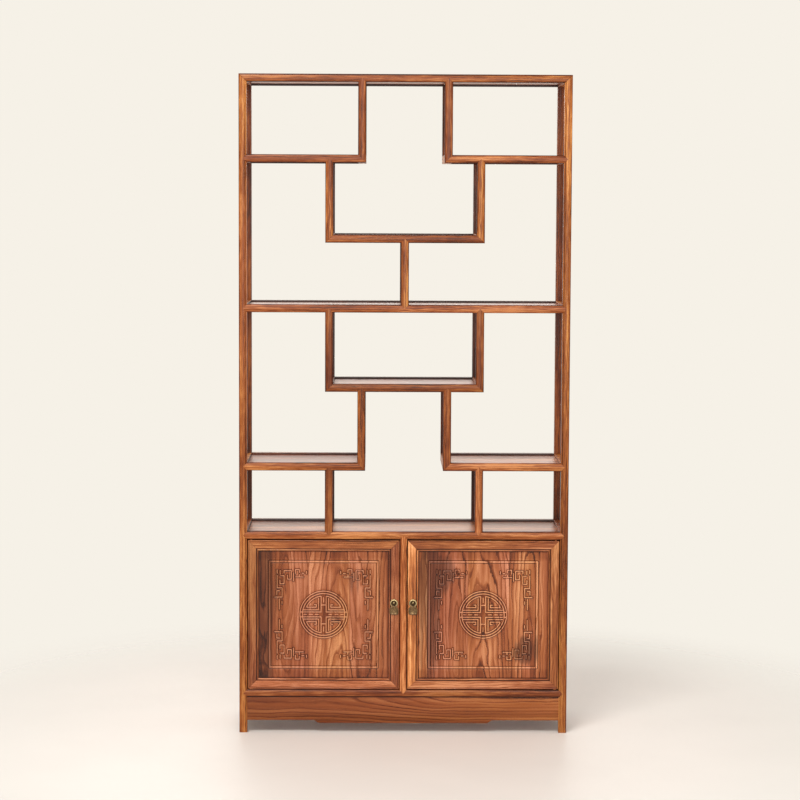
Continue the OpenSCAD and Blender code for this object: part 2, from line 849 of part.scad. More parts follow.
module left_handle_plate() {
    color(BRASS)
        difference() {
            translate([handle_x, plate_y, handle_z]) rotate([-90, 0, 0])
                cylinder(d = plate_d, h = plate_t, $fn = ROUND);
            for (s = [-1, 1])
                translate([handle_x, plate_y - bite, handle_z + s * staple_r]) rotate([-90, 0, 0])
                    cylinder(d = staple_d + 2 * slack, h = plate_t + 2 * bite, $fn = FINE);
        }
}

// Half ring of wire that stands out of the plate, with two legs into the door
module left_handle_staple() {
    color(BRASS)
        translate([handle_x, plate_y, handle_z]) {
            rotate([0, -90, 0]) rotate([180, 0, 0])
                rotate_extrude(angle = 180, $fn = FINE)
                    translate([staple_r, 0]) circle(d = staple_d, $fn = FINE);
            for (s = [-1, 1])
                translate([0, 0, s * staple_r]) rotate([-90, 0, 0])
                    cylinder(d = staple_d, h = plate_t + staple_leg, $fn = FINE);
        }
}

// Outline of the drop below its ring: a bell with hollow sides and a rounded foot
module drop_outline() {
    sides = drop_l - foot_rise;
    spread = (drop_w - neck_w) / 2;
    side_r = (sides * sides + spread * spread) / (2 * spread);
    foot_r = (drop_w * drop_w / 4 + foot_rise * foot_rise) / (2 * foot_rise);
    difference() {
        intersection() {
            translate([-drop_w / 2, -drop_l]) square([drop_w, drop_l + bite]);
            translate([0, -drop_l + foot_r]) circle(r = foot_r, $fn = ROUND);
        }
        for (s = [-1, 1])
            translate([s * (neck_w / 2 + side_r), 0]) circle(r = side_r, $fn = ROUND);
    }
}

module left_handle_drop() {
    color(BRASS)
        translate([handle_x, plate_y + hang_y, handle_z + hang_z]) {
            translate([0, 0, -ring_r]) rotate([90, 0, 0])
                rotate_extrude($fn = FINE) translate([ring_r, 0]) circle(d = ring_d, $fn = FINE);
            translate([0, drop_t / 2, -2 * ring_r]) rotate([90, 0, 0]) linear_extrude(drop_t) drop_outline();
        }
}

module left_strike() {
    color(STEEL) magnet_disc(dy0 + door_t, dy0 + door_t + strike_t);
}

left_post(true);  // front_left_post
mirror([1, 0, 0]) left_post(true);  // front_right_post
mirror([0, 1, 0]) left_post(false);  // rear_left_post
mirror([1, 0, 0]) mirror([0, 1, 0]) left_post(false);  // rear_right_post
top_frame();
full_panel(cab_h);  // top_panel
upper_left_shelf_frame();
upper_left_shelf_panel();
mirror([1, 0, 0]) upper_left_shelf_frame();  // upper_right_shelf_frame
mirror([1, 0, 0]) upper_left_shelf_panel();  // upper_right_shelf_panel
upper_middle_shelf_frame();
middle_shelf_panel(z2);  // upper_middle_shelf_panel
long_shelf_frame();
full_panel(z3);  // long_shelf_panel
lower_middle_shelf_frame();
middle_shelf_panel(z4);  // lower_middle_shelf_panel
lower_left_shelf_frame();
lower_left_shelf_panel();
mirror([1, 0, 0]) lower_left_shelf_frame();  // lower_right_shelf_frame
mirror([1, 0, 0]) lower_left_shelf_panel();  // lower_right_shelf_panel
cabinet_top_frame();
full_panel(z6);  // cabinet_top_panel
tier1_left_uprights();
mirror([1, 0, 0]) tier1_left_uprights();  // tier1_right_uprights
tier2_left_uprights();
mirror([1, 0, 0]) tier2_left_uprights();  // tier2_right_uprights
tier3_uprights();
tier4_left_uprights();
mirror([1, 0, 0]) tier4_left_uprights();  // tier4_right_uprights
tier5_left_uprights();
mirror([1, 0, 0]) tier5_left_uprights();  // tier5_right_uprights
tier6_left_uprights();
mirror([1, 0, 0]) tier6_left_uprights();  // tier6_right_uprights
base_frame();
full_panel(base_z);  // base_panel
left_side_board();  // left_side_panel
mirror([1, 0, 0]) left_side_board();  // right_side_panel
back_panel();
door_mullion();
front_apron();
rear_apron();
left_apron();
mirror([1, 0, 0]) left_apron();  // right_apron
left_catch();
mirror([1, 0, 0]) left_catch();  // right_catch
left_magnet();
mirror([1, 0, 0]) left_magnet();  // right_magnet
left_door_frame();
mirror([1, 0, 0]) left_door_frame();  // right_door_frame
left_door_panel();
mirror([1, 0, 0]) left_door_panel();  // right_door_panel
left_handle_plate();
mirror([1, 0, 0]) left_handle_plate();  // right_handle_plate
left_handle_staple();
mirror([1, 0, 0]) left_handle_staple();  // right_handle_staple
left_handle_drop();
mirror([1, 0, 0]) left_handle_drop();  // right_handle_drop
left_strike();
mirror([1, 0, 0]) left_strike();  // right_strike
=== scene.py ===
"""Looks of a hardwood display lattice over a two-door cabinet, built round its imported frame."""

import json
import math

import bmesh
import bpy
import numpy as np
from mathutils import Matrix, Vector

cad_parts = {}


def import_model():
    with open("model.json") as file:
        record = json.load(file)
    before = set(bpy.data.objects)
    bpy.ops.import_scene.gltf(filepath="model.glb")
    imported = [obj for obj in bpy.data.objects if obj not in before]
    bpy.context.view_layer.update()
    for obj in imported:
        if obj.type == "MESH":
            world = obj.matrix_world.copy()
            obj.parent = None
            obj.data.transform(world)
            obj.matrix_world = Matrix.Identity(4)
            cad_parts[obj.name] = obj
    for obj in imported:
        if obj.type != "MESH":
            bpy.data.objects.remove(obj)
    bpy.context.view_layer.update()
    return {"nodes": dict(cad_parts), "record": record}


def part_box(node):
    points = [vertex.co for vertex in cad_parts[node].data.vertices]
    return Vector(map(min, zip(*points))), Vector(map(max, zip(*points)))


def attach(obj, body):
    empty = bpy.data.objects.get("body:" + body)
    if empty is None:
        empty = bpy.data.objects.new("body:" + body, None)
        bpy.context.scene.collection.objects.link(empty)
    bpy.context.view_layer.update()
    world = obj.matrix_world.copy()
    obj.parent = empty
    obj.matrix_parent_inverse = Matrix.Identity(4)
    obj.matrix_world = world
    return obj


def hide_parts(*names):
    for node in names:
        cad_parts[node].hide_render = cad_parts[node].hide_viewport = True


MM = 0.001

# Members of the frame
POST = 24 * MM
RAIL_H = 24 * MM
RAIL_D = 24 * MM
CROWN = 2 * MM
BEAD = 4 * MM
NIB_DEPTH = 5 * MM
EDGE = 0.8 * MM
ROUND = 1.8 * MM
SEAM = 0.35 * MM
OVER = 2 * MM
ARC_STEPS = 12
CORNER_STEPS = 3

# Shelf panels and boards
PANEL_T = 12 * MM
BOARD_T = 10 * MM
TONGUE_T = 5 * MM
TONGUE_L = 5 * MM
GAP = 0.3 * MM

# Doors
STILE = 32 * MM
DOOR_T = 20 * MM
RIM = 3.6 * MM
RIM_DEPTH = 0.9 * MM
RIM_QUIRK = 1.2 * MM
DARK_LINE = 2.4 * MM
INNER_BEAD = 4.8 * MM
QUIRK = 0.7 * MM
SUNK = 1.6 * MM
LEAF_BACK = 5 * MM
LEAF_T = 8 * MM
PIN_D = 6 * MM
COLLAR_D = 11 * MM
PIN_IN = 10 * MM
PIN_BACK = 6 * MM

# Carving, in millimetres from the middle of a door panel
GRID = 0.7
RELIEF = 1.2
GROOVE = 0.9
RIDGE_HALF = 1.1
RIDGE_FOOT = 2.1
GROOVE_MID = 2.5
GROOVE_END = 3.8
BORDER_INSET = 33.5
BORDER_HALF = 1.3
# Painted highlight on the border's crest, as a share of the full one
BORDER_HIGHLIGHT = 0.55
SUNK_BAND = 4.6
# Painted shade: darker along the panel's edges by the frame, in a band under its top, round the carved lines,
# in the sunk band and among the frets, the last two with stain as well
PANEL_EDGE_SHADE = 0.55
EDGE_REACH = 3.0
PANEL_TOP_SHADE = 0.16
TOP_BAND = 32
TOP_BLEND = 12
SUNK_SHADE_AND_STAIN = 0.3
FRET_SHADE_AND_STAIN = 1.3
HALO_SHADE = 0.2
HALO_REACH = 6.0
# Painted highlight on the crests, which also lifts the boards' pale patches
HIGHLIGHT_AND_PALE_LIFT = 0.47
PALE = 0.34
RING_RADII = (72.0, 64.5)
CELL_X = 7.6
CELL_Z = 14.2
CELL_R = 57.0
CELL_FROM = 24
CELL_TO = 82
RING_END = 70.0
CARVED_SEED = 400

# The angle in degrees above which an edge between two faces shows
SHARP = 32
SHARP_BRASS = 40
SHARP_CARVING = 70
SHARP_APRON = 40


def rgb(r, g, b):
    """Linear colour of an 8-bit sRGB one."""
    channels = [c / 255 for c in (r, g, b)]
    return tuple(c / 12.92 if c <= 0.04045 else ((c + 0.055) / 1.055) ** 2.4 for c in channels) + (1.0,)


# How dark each member is drawn against the average, partly from its stock's own tone and partly as painted
# shade
# Painted shade: the rear members are drawn darker, as they stand in the lattice's shade
REAR_SHADE_TONE = 0.8
RIGHT_PANEL_TONE = 1.12
TONES = {
    "front_left_post": 0.95,
    "front_right_post": 0.98,
    "top_frame": 0.93,
    "door_mullion": 1.24,
    "cabinet_top_frame": 1.05,
    "base_frame": 0.67,
    "front_apron": 0.9,
    "upper_left_shelf_frame": 0.80,
    "upper_middle_shelf_frame": 0.86,
    "long_shelf_frame": 1.01,
    "lower_middle_shelf_frame": 0.80,
    "tier1_left_uprights": 0.84,
    "tier1_right_uprights": 0.59,
    "tier2_left_uprights": 0.93,
    "tier2_right_uprights": 0.93,
    "tier3_uprights": 0.86,
    "tier4_left_uprights": 0.60,
    "tier4_right_uprights": 0.57,
    "tier5_left_uprights": 0.95,
    "tier5_right_uprights": 0.75,
    "tier6_left_uprights": 0.58,
}
# How much paler a member is drawn at the end of its length than at the start
FADES = {"top_frame": 0.32, "front_right_post": 0.40, "front_left_post": 0.15}
APRON_PALING = 0.20
APRON_RISE = -0.18

DOOR_TONES = {(-1, "left"): 0.71, (-1, "top"): 1.10, (-1, "bottom"): 1.30, (-1, "right"): 0.95,
              (1, "left"): 1.85, (1, "right"): 0.98, (1, "top"): 1.05, (1, "bottom"): 1.05}

# Painted shade: how dark the edges of the front sticks are drawn, and the faces that lie in shade
EDGE_SHADE = 0.40
RIGHT_SHADE = 0.60
UNDER_SHADE = 0.45
REAR_SHADE = 0.42
REAR_RIGHT_SHADE = 0.25
REAR_RAIL_SHADE = 0.85
SHELF_EDGE_SHADES = {-1: 1, 1: 0.1}
BASE_FOOT_SHADE = 0.9
TOP_EDGE_SHADE = 0.7
SHADE_WIDTH = 2.2 * MM


# Profiles: lists of (across, depth), across from the middle of the member, depth from its outer face
def corner(cx, cy, r, start, steps=CORNER_STEPS):
    """Quarter turn about a centre, from the angle start in degrees."""
    angles = [math.radians(start + 90 * i / steps) for i in range(steps + 1)]
    return [(cx + r * math.cos(a), cy + r * math.sin(a)) for a in angles]


def back_corners(h, d, r):
    return corner(h - r, d - r, r, 0) + corner(-h + r, d - r, r, 90)


def plain(w, d, r=EDGE):
    h = w / 2
    return corner(-h + r, r, r, 180) + corner(h - r, r, r, 270) + back_corners(h, d, r)


def crown_arc(x0, x1, rise):
    """Points of a face that bulges by rise between x0 and x1."""
    half = (x1 - x0) / 2
    radius = (half * half + rise * rise) / (2 * rise)
    reach = math.asin(half / radius)
    angles = [reach * (2 * i / ARC_STEPS - 1) for i in range(ARC_STEPS + 1)]
    return [(x0 + half + radius * math.sin(a), radius - radius * math.cos(a)) for a in angles]


def crowned(w, d):
    """Bar with a bulging front and well rounded front edges."""
    h = w / 2
    return [(-h, CROWN + ROUND)] + rounded_crown(h) + [(h, CROWN + ROUND)] + back_corners(h, d, EDGE)


def rounded_crown(h):
    """Front of such a bar, which turns down ever faster towards its edges."""
    points = []
    for i in range(1, 2 * ARC_STEPS):
        a = -math.cos(math.pi * i / (2 * ARC_STEPS))
        points.append((a * h, CROWN * a * a + ROUND * abs(a) ** 9))
    return points


def bead(middle, width, depth, steps, first, last):
    """Points first to last of a half-round bead that has this many steps."""
    angles = [math.pi * i / steps for i in range(first, last + 1)]
    return [(middle - width / 2 * math.cos(a), depth - depth * math.sin(a)) for a in angles]


def post_profile():
    """Front post: a bulging band, a groove and a bead along the inner edge, at positive across."""
    h = POST / 2
    band = crown_arc(-h, h - BEAD, CROWN)
    return ([(-h, CROWN + EDGE)] + band[1:] + bead(h - BEAD / 2, BEAD, BEAD / 2, 8, 1, 8)
            + back_corners(h, POST, EDGE))


def door_profile():
    """Stile or rail of a door, across from its outer edge: a bead, a flat face and the inner bead."""
    outer = bead(RIM / 2, RIM, RIM_DEPTH, 8, 0, 7)
    x0 = RIM + QUIRK
    x1 = STILE - INNER_BEAD - QUIRK
    flat = [(RIM, RIM_QUIRK), (x0, RIM_QUIRK), (x0, EDGE / 2), (x0 + EDGE / 2, 0), (x1 - DARK_LINE, 0),
            (x1 - EDGE / 2, 0), (x1, EDGE / 2), (x1, SUNK), (x1 + QUIRK, SUNK)]
    inner = bead(STILE - INNER_BEAD / 2, INNER_BEAD, INNER_BEAD / 2, 10, 2, 10)
    near, far = (LEAF_BACK + (LEAF_T + t) / 2 for t in (-TONGUE_T, TONGUE_T))
    bottom = STILE - TONGUE_L - GAP
    slot = [(STILE, near), (bottom, near), (bottom, far), (STILE, far)]
    back = [(STILE, DOOR_T - EDGE), (STILE - EDGE, DOOR_T), (EDGE, DOOR_T), (0, DOOR_T - EDGE),
            (0, DOOR_T / 2), (0, 2 * RIM_DEPTH)]
    return outer + flat + inner + slot + back


def linked(name, data):
    """A new object in the scene."""
    o = bpy.data.objects.new(name, data)
    bpy.context.scene.collection.objects.link(o)
    return o


def baked(bm, name):
    """The mesh of a finished BMesh, with its faces turned outwards."""
    bmesh.ops.recalc_face_normals(bm, faces=bm.faces)
    mesh = bpy.data.meshes.new(name)
    bm.to_mesh(mesh)
    bm.free()
    return mesh


def strip(bm, ring0, ring1):
    """Faces between two rings of as many vertices."""
    for i in range(len(ring0)):
        j = (i + 1) % len(ring0)
        bm.faces.new((ring0[i], ring0[j], ring1[j], ring1[i]))


def skinned(name, rings, closed=False):
    """Mesh through rings of points, which run round to the first if closed and have filled ends if not."""
    bm = bmesh.new()
    rings = [[bm.verts.new(point) for point in ring] for ring in rings]
    for ring0, ring1 in zip(rings, rings[1:] + rings[:1] if closed else rings[1:]):
        strip(bm, ring0, ring1)
    if not closed:
        bm.faces.new(rings[0])
        bm.faces.new(rings[-1])
    return baked(bm, name)


def turn(steps):
    """Angles of a full turn."""
    return [2 * math.pi * i / steps for i in range(steps)]


# Members: prisms in world space with cut ends, notches and the coordinates of their grain
class Member:
    """One stick or board: a profile swept along an axis. Seeds differ, so that no two show the same grain."""

    count = 0

    def __init__(self, profile, origin, along, across, depth, length):
        Member.count += 1
        self.seed = Member.count
        self.tone = 1.0
        self.fade = 0.0
        self.length = length
        self.stains = ()
        axes = Matrix((along, across, depth)).transposed().to_4x4()
        self.place = Matrix.Translation(Vector(origin)) @ axes
        self.grain_place = self.place
        self.bm = bmesh.new()
        rings = [[self.bm.verts.new((s, a, d)) for a, d in profile] for s in (0, length)]
        self.cap = self.bm.faces.layers.int.new("cap")
        strip(self.bm, *rings)
        for ring in rings:
            self.bm.faces.new(ring)[self.cap] = 1
        self.bm.transform(self.place)
        bmesh.ops.recalc_face_normals(self.bm, faces=self.bm.faces)
        self.notches = []

    def cut(self, point, normal):
        """Takes off what lies past a plane and closes the end."""
        geom = self.bm.verts[:] + self.bm.edges[:] + self.bm.faces[:]
        done = bmesh.ops.bisect_plane(self.bm, geom=geom, dist=1e-7, plane_co=Vector(point),
                                      plane_no=Vector(normal), clear_outer=True)
        edges = [e for e in done["geom_cut"] if isinstance(e, bmesh.types.BMEdge)]
        for face in bmesh.ops.holes_fill(self.bm, edges=edges)["faces"]:
            face[self.cap] = 1
        return self

    def notch(self, x, z, toward, width):
        """Room in the front face for the nib of another stick, as an outline in the XZ plane."""
        base, along = Vector((x, 0, z)), Vector(toward)
        back = base - along * SEAM
        half = Vector((along.z, 0, along.x)) * width / 2
        points = (back + half, back - half, base - half, base + along * RAIL_H / 2, base + half)
        self.notches.append([(p.x, p.z) for p in points])

    def ease(self, joined_at=()):
        """A narrow chamfer round the cut ends, which shows as the line of the joint. It leaves out the
        front edge of the ends in joined_at, where a nib carries the face on."""
        back = self.place.inverted()
        edges = set()
        for edge in {e for f in self.bm.faces if f[self.cap] for e in f.edges}:
            middle = back @ ((edge.verts[0].co + edge.verts[1].co) / 2)
            if not any(abs(middle.x - end) < SEAM and middle.z < NIB_DEPTH for end in joined_at):
                edges.add(edge)
        bevel = bmesh.ops.bevel(self.bm, geom=list(edges), offset=SEAM, segments=1, affect="EDGES",
                                clamp_overlap=True)
        ends = {f for f in self.bm.faces if f[self.cap]} | set(bevel["faces"])
        darkening = self.bm.verts.layers.float.new("shade_stain_and_joints")
        for vert in {v for f in ends for v in f.verts}:
            if ends.issuperset(vert.link_faces):
                vert[darkening] = 1
        return self

    def mesh(self, name):
        mesh = baked(self.bm, name)
        if self.notches:
            mesh = carved_out(mesh, self.notches)
        back = self.grain_place.inverted()
        points = np.empty(len(mesh.vertices) * 3, np.float32)
        mesh.vertices.foreach_get("co", points)
        points = points.reshape(-1, 3)
        grain = points @ np.array(back.to_3x3()).T + np.array(back.translation)
        paling = 1 + self.fade * (grain[:, 0] / self.length - 0.5)
        set_grain(mesh, grain, self.seed, self.tone * paling)
        layer = mesh.attributes.get("shade_stain_and_joints") or mesh.attributes.new("shade_stain_and_joints", "FLOAT", "POINT")
        shade_stain_and_joints = np.empty(len(mesh.vertices), np.float32)
        layer.data.foreach_get("value", shade_stain_and_joints)
        # Painted shade: each zone of the profile, given across and in depth, is darkened to its strength
        for across0, across1, depth0, depth1, strength in self.stains:
            inside = ((grain[:, 1] > across0) & (grain[:, 1] < across1)
                      & (grain[:, 2] > depth0) & (grain[:, 2] < depth1))
            shade_stain_and_joints[inside] = np.maximum(shade_stain_and_joints[inside], strength)
        layer.data.foreach_set("value", shade_stain_and_joints)
        return mesh


def keep(mesh, name, values):
    """Keeps a number on each vertex, for the shaders."""
    layer = mesh.attributes.new(name, "FLOAT", "POINT")
    layer.data.foreach_set("value", np.ascontiguousarray(values, np.float32).ravel())


def set_grain(mesh, grain, seed, tone=1.0):
    """Keeps on each vertex its place in the wood and the member's own number and tone."""
    layer = mesh.attributes.new("grain", "FLOAT_VECTOR", "POINT")
    layer.data.foreach_set("vector", np.ascontiguousarray(grain, np.float32).ravel())
    keep(mesh, "member", np.full(len(mesh.vertices), seed))
    keep(mesh, "tone", np.full(len(mesh.vertices), tone))


def carved_out(mesh, outlines):
    """The mesh less the notches of these outlines in its front face."""
    bm = bmesh.new()
    for outline in outlines:
        near, far = ([bm.verts.new((x, y, z)) for x, z in outline] for y in (FRONT - OVER, FRONT + NIB_DEPTH))
        bm.faces.new(near)
        bm.faces.new(far)
        strip(bm, near, far)
    cutter = linked("cutter", baked(bm, "cutter"))
    body = linked("body", mesh)
    tool = body.modifiers.new("notches", "BOOLEAN")
    tool.object = cutter
    tool.operation = "DIFFERENCE"
    tool.solver = "EXACT"
    result = bpy.data.meshes.new_from_object(body.evaluated_get(bpy.context.evaluated_depsgraph_get()))
    bpy.data.objects.remove(body)
    bpy.data.objects.remove(cutter)
    return result


def place(node, meshes, slot, material, angle=SHARP):
    """Joins meshes that carry the same layers into the piece that stands for a node, on the node's body."""
    name = f"{node}_brass" if slot == "brass" else f"{node}_wood"
    parts = [linked(f"{name}_{i}", mesh) for i, mesh in enumerate(meshes)]
    if len(parts) > 1:
        with bpy.context.temp_override(active_object=parts[0], selected_editable_objects=parts):
            bpy.ops.object.join()
    o = parts[0]
    o.name = name
    for face in o.data.polygons:
        face.use_smooth = True
    o.data.set_sharp_from_angle(angle=math.radians(angle))
    o.data.materials.clear()
    o.data.materials.append(material)
    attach(o, BODY_OF[node])
    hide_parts(node)


def wooden(node, members, slot, material):
    for m in members:
        m.tone *= TONES.get(node, 1.0)
        m.fade = FADES.get(node, 0.0)
    place(node, [m.mesh(node) for m in members], slot, material)


def lattice(node, members):
    wooden(node, members, "frame_wood", lattice_wood)


# Nodes of the shader trees
class Value:
    """One output of a node. Arithmetic with it adds further nodes."""

    def __init__(self, tree, socket):
        self.tree = tree
        self.socket = socket

    def __add__(self, other):
        return self.tree.math("ADD", self, other)

    def __sub__(self, other):
        return self.tree.math("SUBTRACT", self, other)

    def __mul__(self, other):
        return self.tree.math("MULTIPLY", self, other)

    def __truediv__(self, other):
        return self.tree.math("DIVIDE", self, other)

    def __pow__(self, other):
        return self.tree.math("POWER", self, other)


class Tree:
    """Short calls for building the nodes of a material or a world."""

    def __init__(self, owner):
        owner.use_nodes = True
        self.tree = owner.node_tree
        self.tree.nodes.clear()
        self.output = "OutputWorld" if isinstance(owner, bpy.types.World) else "OutputMaterial"

    def add(self, kind, inputs=None, **settings):
        node = self.tree.nodes.new("ShaderNode" + kind)
        for key, value in settings.items():
            setattr(node, key, value)
        for key, value in (inputs or {}).items():
            if isinstance(value, Value):
                self.tree.links.new(value.socket, node.inputs[key])
            else:
                node.inputs[key].default_value = value
        return node

    def value(self, kind, inputs=None, output=0, **settings):
        """An output of a new node."""
        return Value(self, self.add(kind, inputs, **settings).outputs[output])

    def math(self, operation, a, b=0.0):
        return self.value("Math", {0: a, 1: b}, operation=operation)

    def vector(self, x, y, z):
        return self.value("CombineXYZ", {0: x, 1: y, 2: z})

    def split(self, vector):
        node = self.add("SeparateXYZ", {0: vector})
        return [Value(self, socket) for socket in node.outputs]

    def kept(self, name, output="Fac"):
        """What keep or set_grain has left on the vertices."""
        return self.value("Attribute", output=output, attribute_name=name)

    def noise(self, vector, scale=1.0, detail=2.0, roughness=0.5, output=0):
        inputs = {"Vector": vector, "Scale": scale, "Detail": detail, "Roughness": roughness}
        return self.value("TexNoise", inputs, output)

    def noises(self, vector, scale, detail):
        """Three noises that have nothing to do with each other."""
        return self.split(self.noise(vector, scale, detail, output="Color"))

    def random(self, value):
        """Three numbers that jump wherever the value changes."""
        return self.split(self.value("TexWhiteNoise", {"W": value}, "Color", noise_dimensions="1D"))

    def span(self, value, low, high, out_low=0.0, out_high=1.0):
        """Smooth step from out_low to out_high as the value runs from low to high."""
        inputs = {0: value, 1: low, 2: high, 3: out_low, 4: out_high}
        return self.value("MapRange", inputs, interpolation_type="SMOOTHSTEP")

    def mix(self, factor, a, b, blend="MIX"):
        return self.value("Mix", {0: factor, 6: a, 7: b}, 2, data_type="RGBA", blend_type=blend)

    def bump(self, height):
        return self.value("Bump", {"Height": height, "Distance": 0.05 * MM, "Strength": 0.5})

    def finish(self, shader):
        self.add(self.output, {"Surface": shader})


# Colours of the wood, from its dark lines to its palest bands
DARK = rgb(60, 24, 9)
BROWN = rgb(116, 53, 23)
RED = rgb(160, 88, 50)
LIGHT = rgb(208, 137, 97)
GLUE = rgb(70, 34, 18)
DARK_HEART = rgb(168, 166, 170)

# Polish of every wood, and the heart of a board that shows flames: where it lies across the board,
# and how deep, along which stretch of the board
SPECULAR = 0.2
COAT_IOR = 1.45
FLAME_EDGE = 0.045
FLAME_DEPTHS = (0.062, 0.022)
FLAME_STRETCH = (-0.25, 0.22)


def wood_material(name, board, ring, bend, slope, coat, haze, hue_shift, lines=0.62, mottle=1.0, fleck=0.0,
                  carved=False, flame=False):
    """Ring-porous hardwood under clear lacquer. Sizes are in metres: board is the width of a glued
    board, ring the spacing of the growth rings, and bend how far they wander. slope is how much the
    rings dip along the length, which shows as nested arches. coat and haze are the weight and
    roughness of the lacquer, and hue_shift what the wood's green and blue are multiplied by. lines,
    mottle and fleck are the strengths of the dark lines, of the bands and patches and of the short
    flecks. Carved wood has a painted highlight on its crests, is paler in its pale patches and dark in
    its heartwood. With flame, the heart lies along the upper edge and dips away from the face to the left."""
    material = bpy.data.materials.new(name)
    t = Tree(material)
    along, across, through = t.split(t.kept("grain", "Vector"))

    # Each board of a member has its own heart, tone and stretch of grain
    shifted = across / board + 0.37
    key = t.kept("member") * 13.7 + t.math("FLOOR", shifted) * 3.1
    dice = t.random(key)
    dice2 = t.random(key + 0.5)
    own_along = along + dice[0] * 40.0

    def stretched(along_rate, across_rate):
        return t.vector(own_along * along_rate, across * across_rate, through * across_rate)

    # The rings bend and dip slowly along the board, so that flat boards show flames
    sway = t.noises(stretched(1.7, 6.0), 5.0, 1.5)
    ripple = t.noises(stretched(9.0, 30.0), 5.0, 2.0)
    if flame:
        from_heart = across - FLAME_EDGE
        depth = t.span(along, *FLAME_STRETCH, *FLAME_DEPTHS)
    else:
        from_heart = (t.math("FRACT", shifted) - 0.5) * board - (dice[1] - 0.5) * (0.9 * min(board, 0.14))
        depth = dice[2] * 0.045 + 0.008
    drift = along * ((dice2[2] - 0.5) * 0.03)
    dip = along * ((dice2[1] - 0.5) * slope)
    u = from_heart + drift + (sway[0] - 0.5) * bend + (ripple[0] - 0.5) * (bend * 0.12)
    v = through + depth + dip + (sway[1] - 0.5) * bend + (ripple[1] - 0.5) * (bend * 0.16)
    rings = t.math("SQRT", u * u + v * v) / ring + t.noise(stretched(30.0, 420.0), detail=3.0) * 0.16
    phase = t.math("FRACT", rings)
    strength = t.random(t.math("FLOOR", rings))

    # Each ring starts with a dark porous line, pales at once and darkens slowly again
    line = (t.span(phase, 0.0, 0.05) - t.span(phase, 0.10, 0.36)) * (strength[0] * 0.65 + 0.35)
    line = line * t.span(t.noise(stretched(2.2, 11.0), detail=1.0), 0.36, 0.60, 0.45, 1.0)
    late = t.span(phase, 0.35, 1.0) * (strength[1] * 0.7 + 0.3)
    fibre = t.noise(stretched(18.0, 1500.0), detail=3.0, roughness=0.6)
    pores = t.span(t.noise(stretched(120.0, 2600.0), detail=1.0), 0.60, 0.72) * (line * 0.7 + 0.12)
    streak = t.noise(stretched(3.0, 75.0), detail=2.5)
    patch = t.noise(stretched(2.4, 16.0))

    # How pale the wood is, from 0 to 1
    value = (patch - 0.5) * (1.3 * mottle) + (streak - 0.5) * mottle + (strength[2] - 0.5) * 0.20 + 0.74
    value = value + (fibre - 0.5) * 0.35 - late * 0.22 - line * lines - pores * 0.35
    if fleck:
        value = value + (t.noise(stretched(24.0, 190.0)) - 0.5) * fleck
    # Darker with painted shade, with stain in the carving's grooves, and along the lines of the joints
    value = value - t.kept("shade_stain_and_joints") * 0.9
    # Painted highlight on the carving's crests, which also brings out the pale patches of its boards
    if carved:
        value = value + t.kept("highlight_and_pale") * HIGHLIGHT_AND_PALE_LIFT
    ramp = t.add("ValToRGB", {0: value})
    stops = ramp.color_ramp.elements
    stops[0].position, stops[0].color = 0.0, DARK
    stops[1].position, stops[1].color = 1.0, LIGHT
    for position, colour in ((0.34, BROWN), (0.68, RED)):
        stops.new(position).color = colour

    # Tone and hue differ from member to member, and along each
    hue = t.noise(stretched(1.5, 9.0), detail=1.0) * 0.7 + dice2[0] * 0.3
    spread = 0.12 if board > 1 else 0.3
    tone = (dice2[0] * spread + (1 - spread / 2)) * t.kept("tone")
    green = t.span(hue, 0.3, 0.7, 0.95 * hue_shift[0], 1.05 * hue_shift[0])
    blue = t.span(hue, 0.3, 0.7, 1.10 * hue_shift[1], 0.84 * hue_shift[1])
    tint = t.vector(tone, tone ** 1.3 * green, tone ** 1.6 * blue)
    colour = t.mix(1.0, Value(t, ramp.outputs[0]), tint, blend="MULTIPLY")
    if carved:
        edge = t.span(t.kept("heartwood") + (streak - 0.5) * 1.2, 0.42, 0.62)
        colour = t.mix(edge * 0.85, colour, t.mix(1.0, colour, DARK_HEART, blend="MULTIPLY"))
    if board < 0.5:
        off = t.math("ABSOLUTE", t.math("FRACT", shifted) - 0.5) * board
        joint = t.span(off, board / 2 - 0.5 * MM, board / 2 - 0.1 * MM)
        colour = t.mix(joint * 0.5, colour, GLUE)

    t.finish(t.value("BsdfPrincipled", {
        "Base Color": colour, "Roughness": t.span(fibre, 0.3, 0.7, 0.34, 0.48),
        "Normal": t.bump(fibre * 0.25 - (pores + line * 0.5)), "Specular IOR Level": SPECULAR,
        "Coat Weight": coat, "Coat Roughness": haze, "Coat IOR": COAT_IOR}))
    return material


def brass_material():
    """Antique brass: worn bright on the high parts, brown-green in the hollows, with painted highlights and
    painted shade on top.
    """
    material = bpy.data.materials.new("antique_brass")
    t = Tree(material)
    where = t.value("TexCoord", output="Object")
    cloud = t.noise(where, 420.0, 4.0)
    grit = t.noise(where, 2600.0)
    colour = t.mix(t.span(cloud, 0.35, 0.65), rgb(104, 80, 54), rgb(150, 120, 84))
    colour = t.mix(t.span(grit, 0.52, 0.66, 0.0, 0.75), colour, rgb(58, 46, 30))
    # Pale where worn, and a painted highlight on the plate's upper side and the staple's top
    colour = t.mix(t.kept("wear_and_highlight"), colour, rgb(224, 204, 150))
    # Dark with patina in the hollows, and painted shade on the boss, under the staple and at the drop's foot
    colour = t.mix(t.kept("patina_and_shade"), colour, rgb(30, 20, 6))
    t.finish(t.value("BsdfPrincipled", {
        "Base Color": colour, "Metallic": 0.85, "Roughness": t.span(cloud, 0.3, 0.7, 0.44, 0.28),
        "Normal": t.bump(grit)}))
    return material


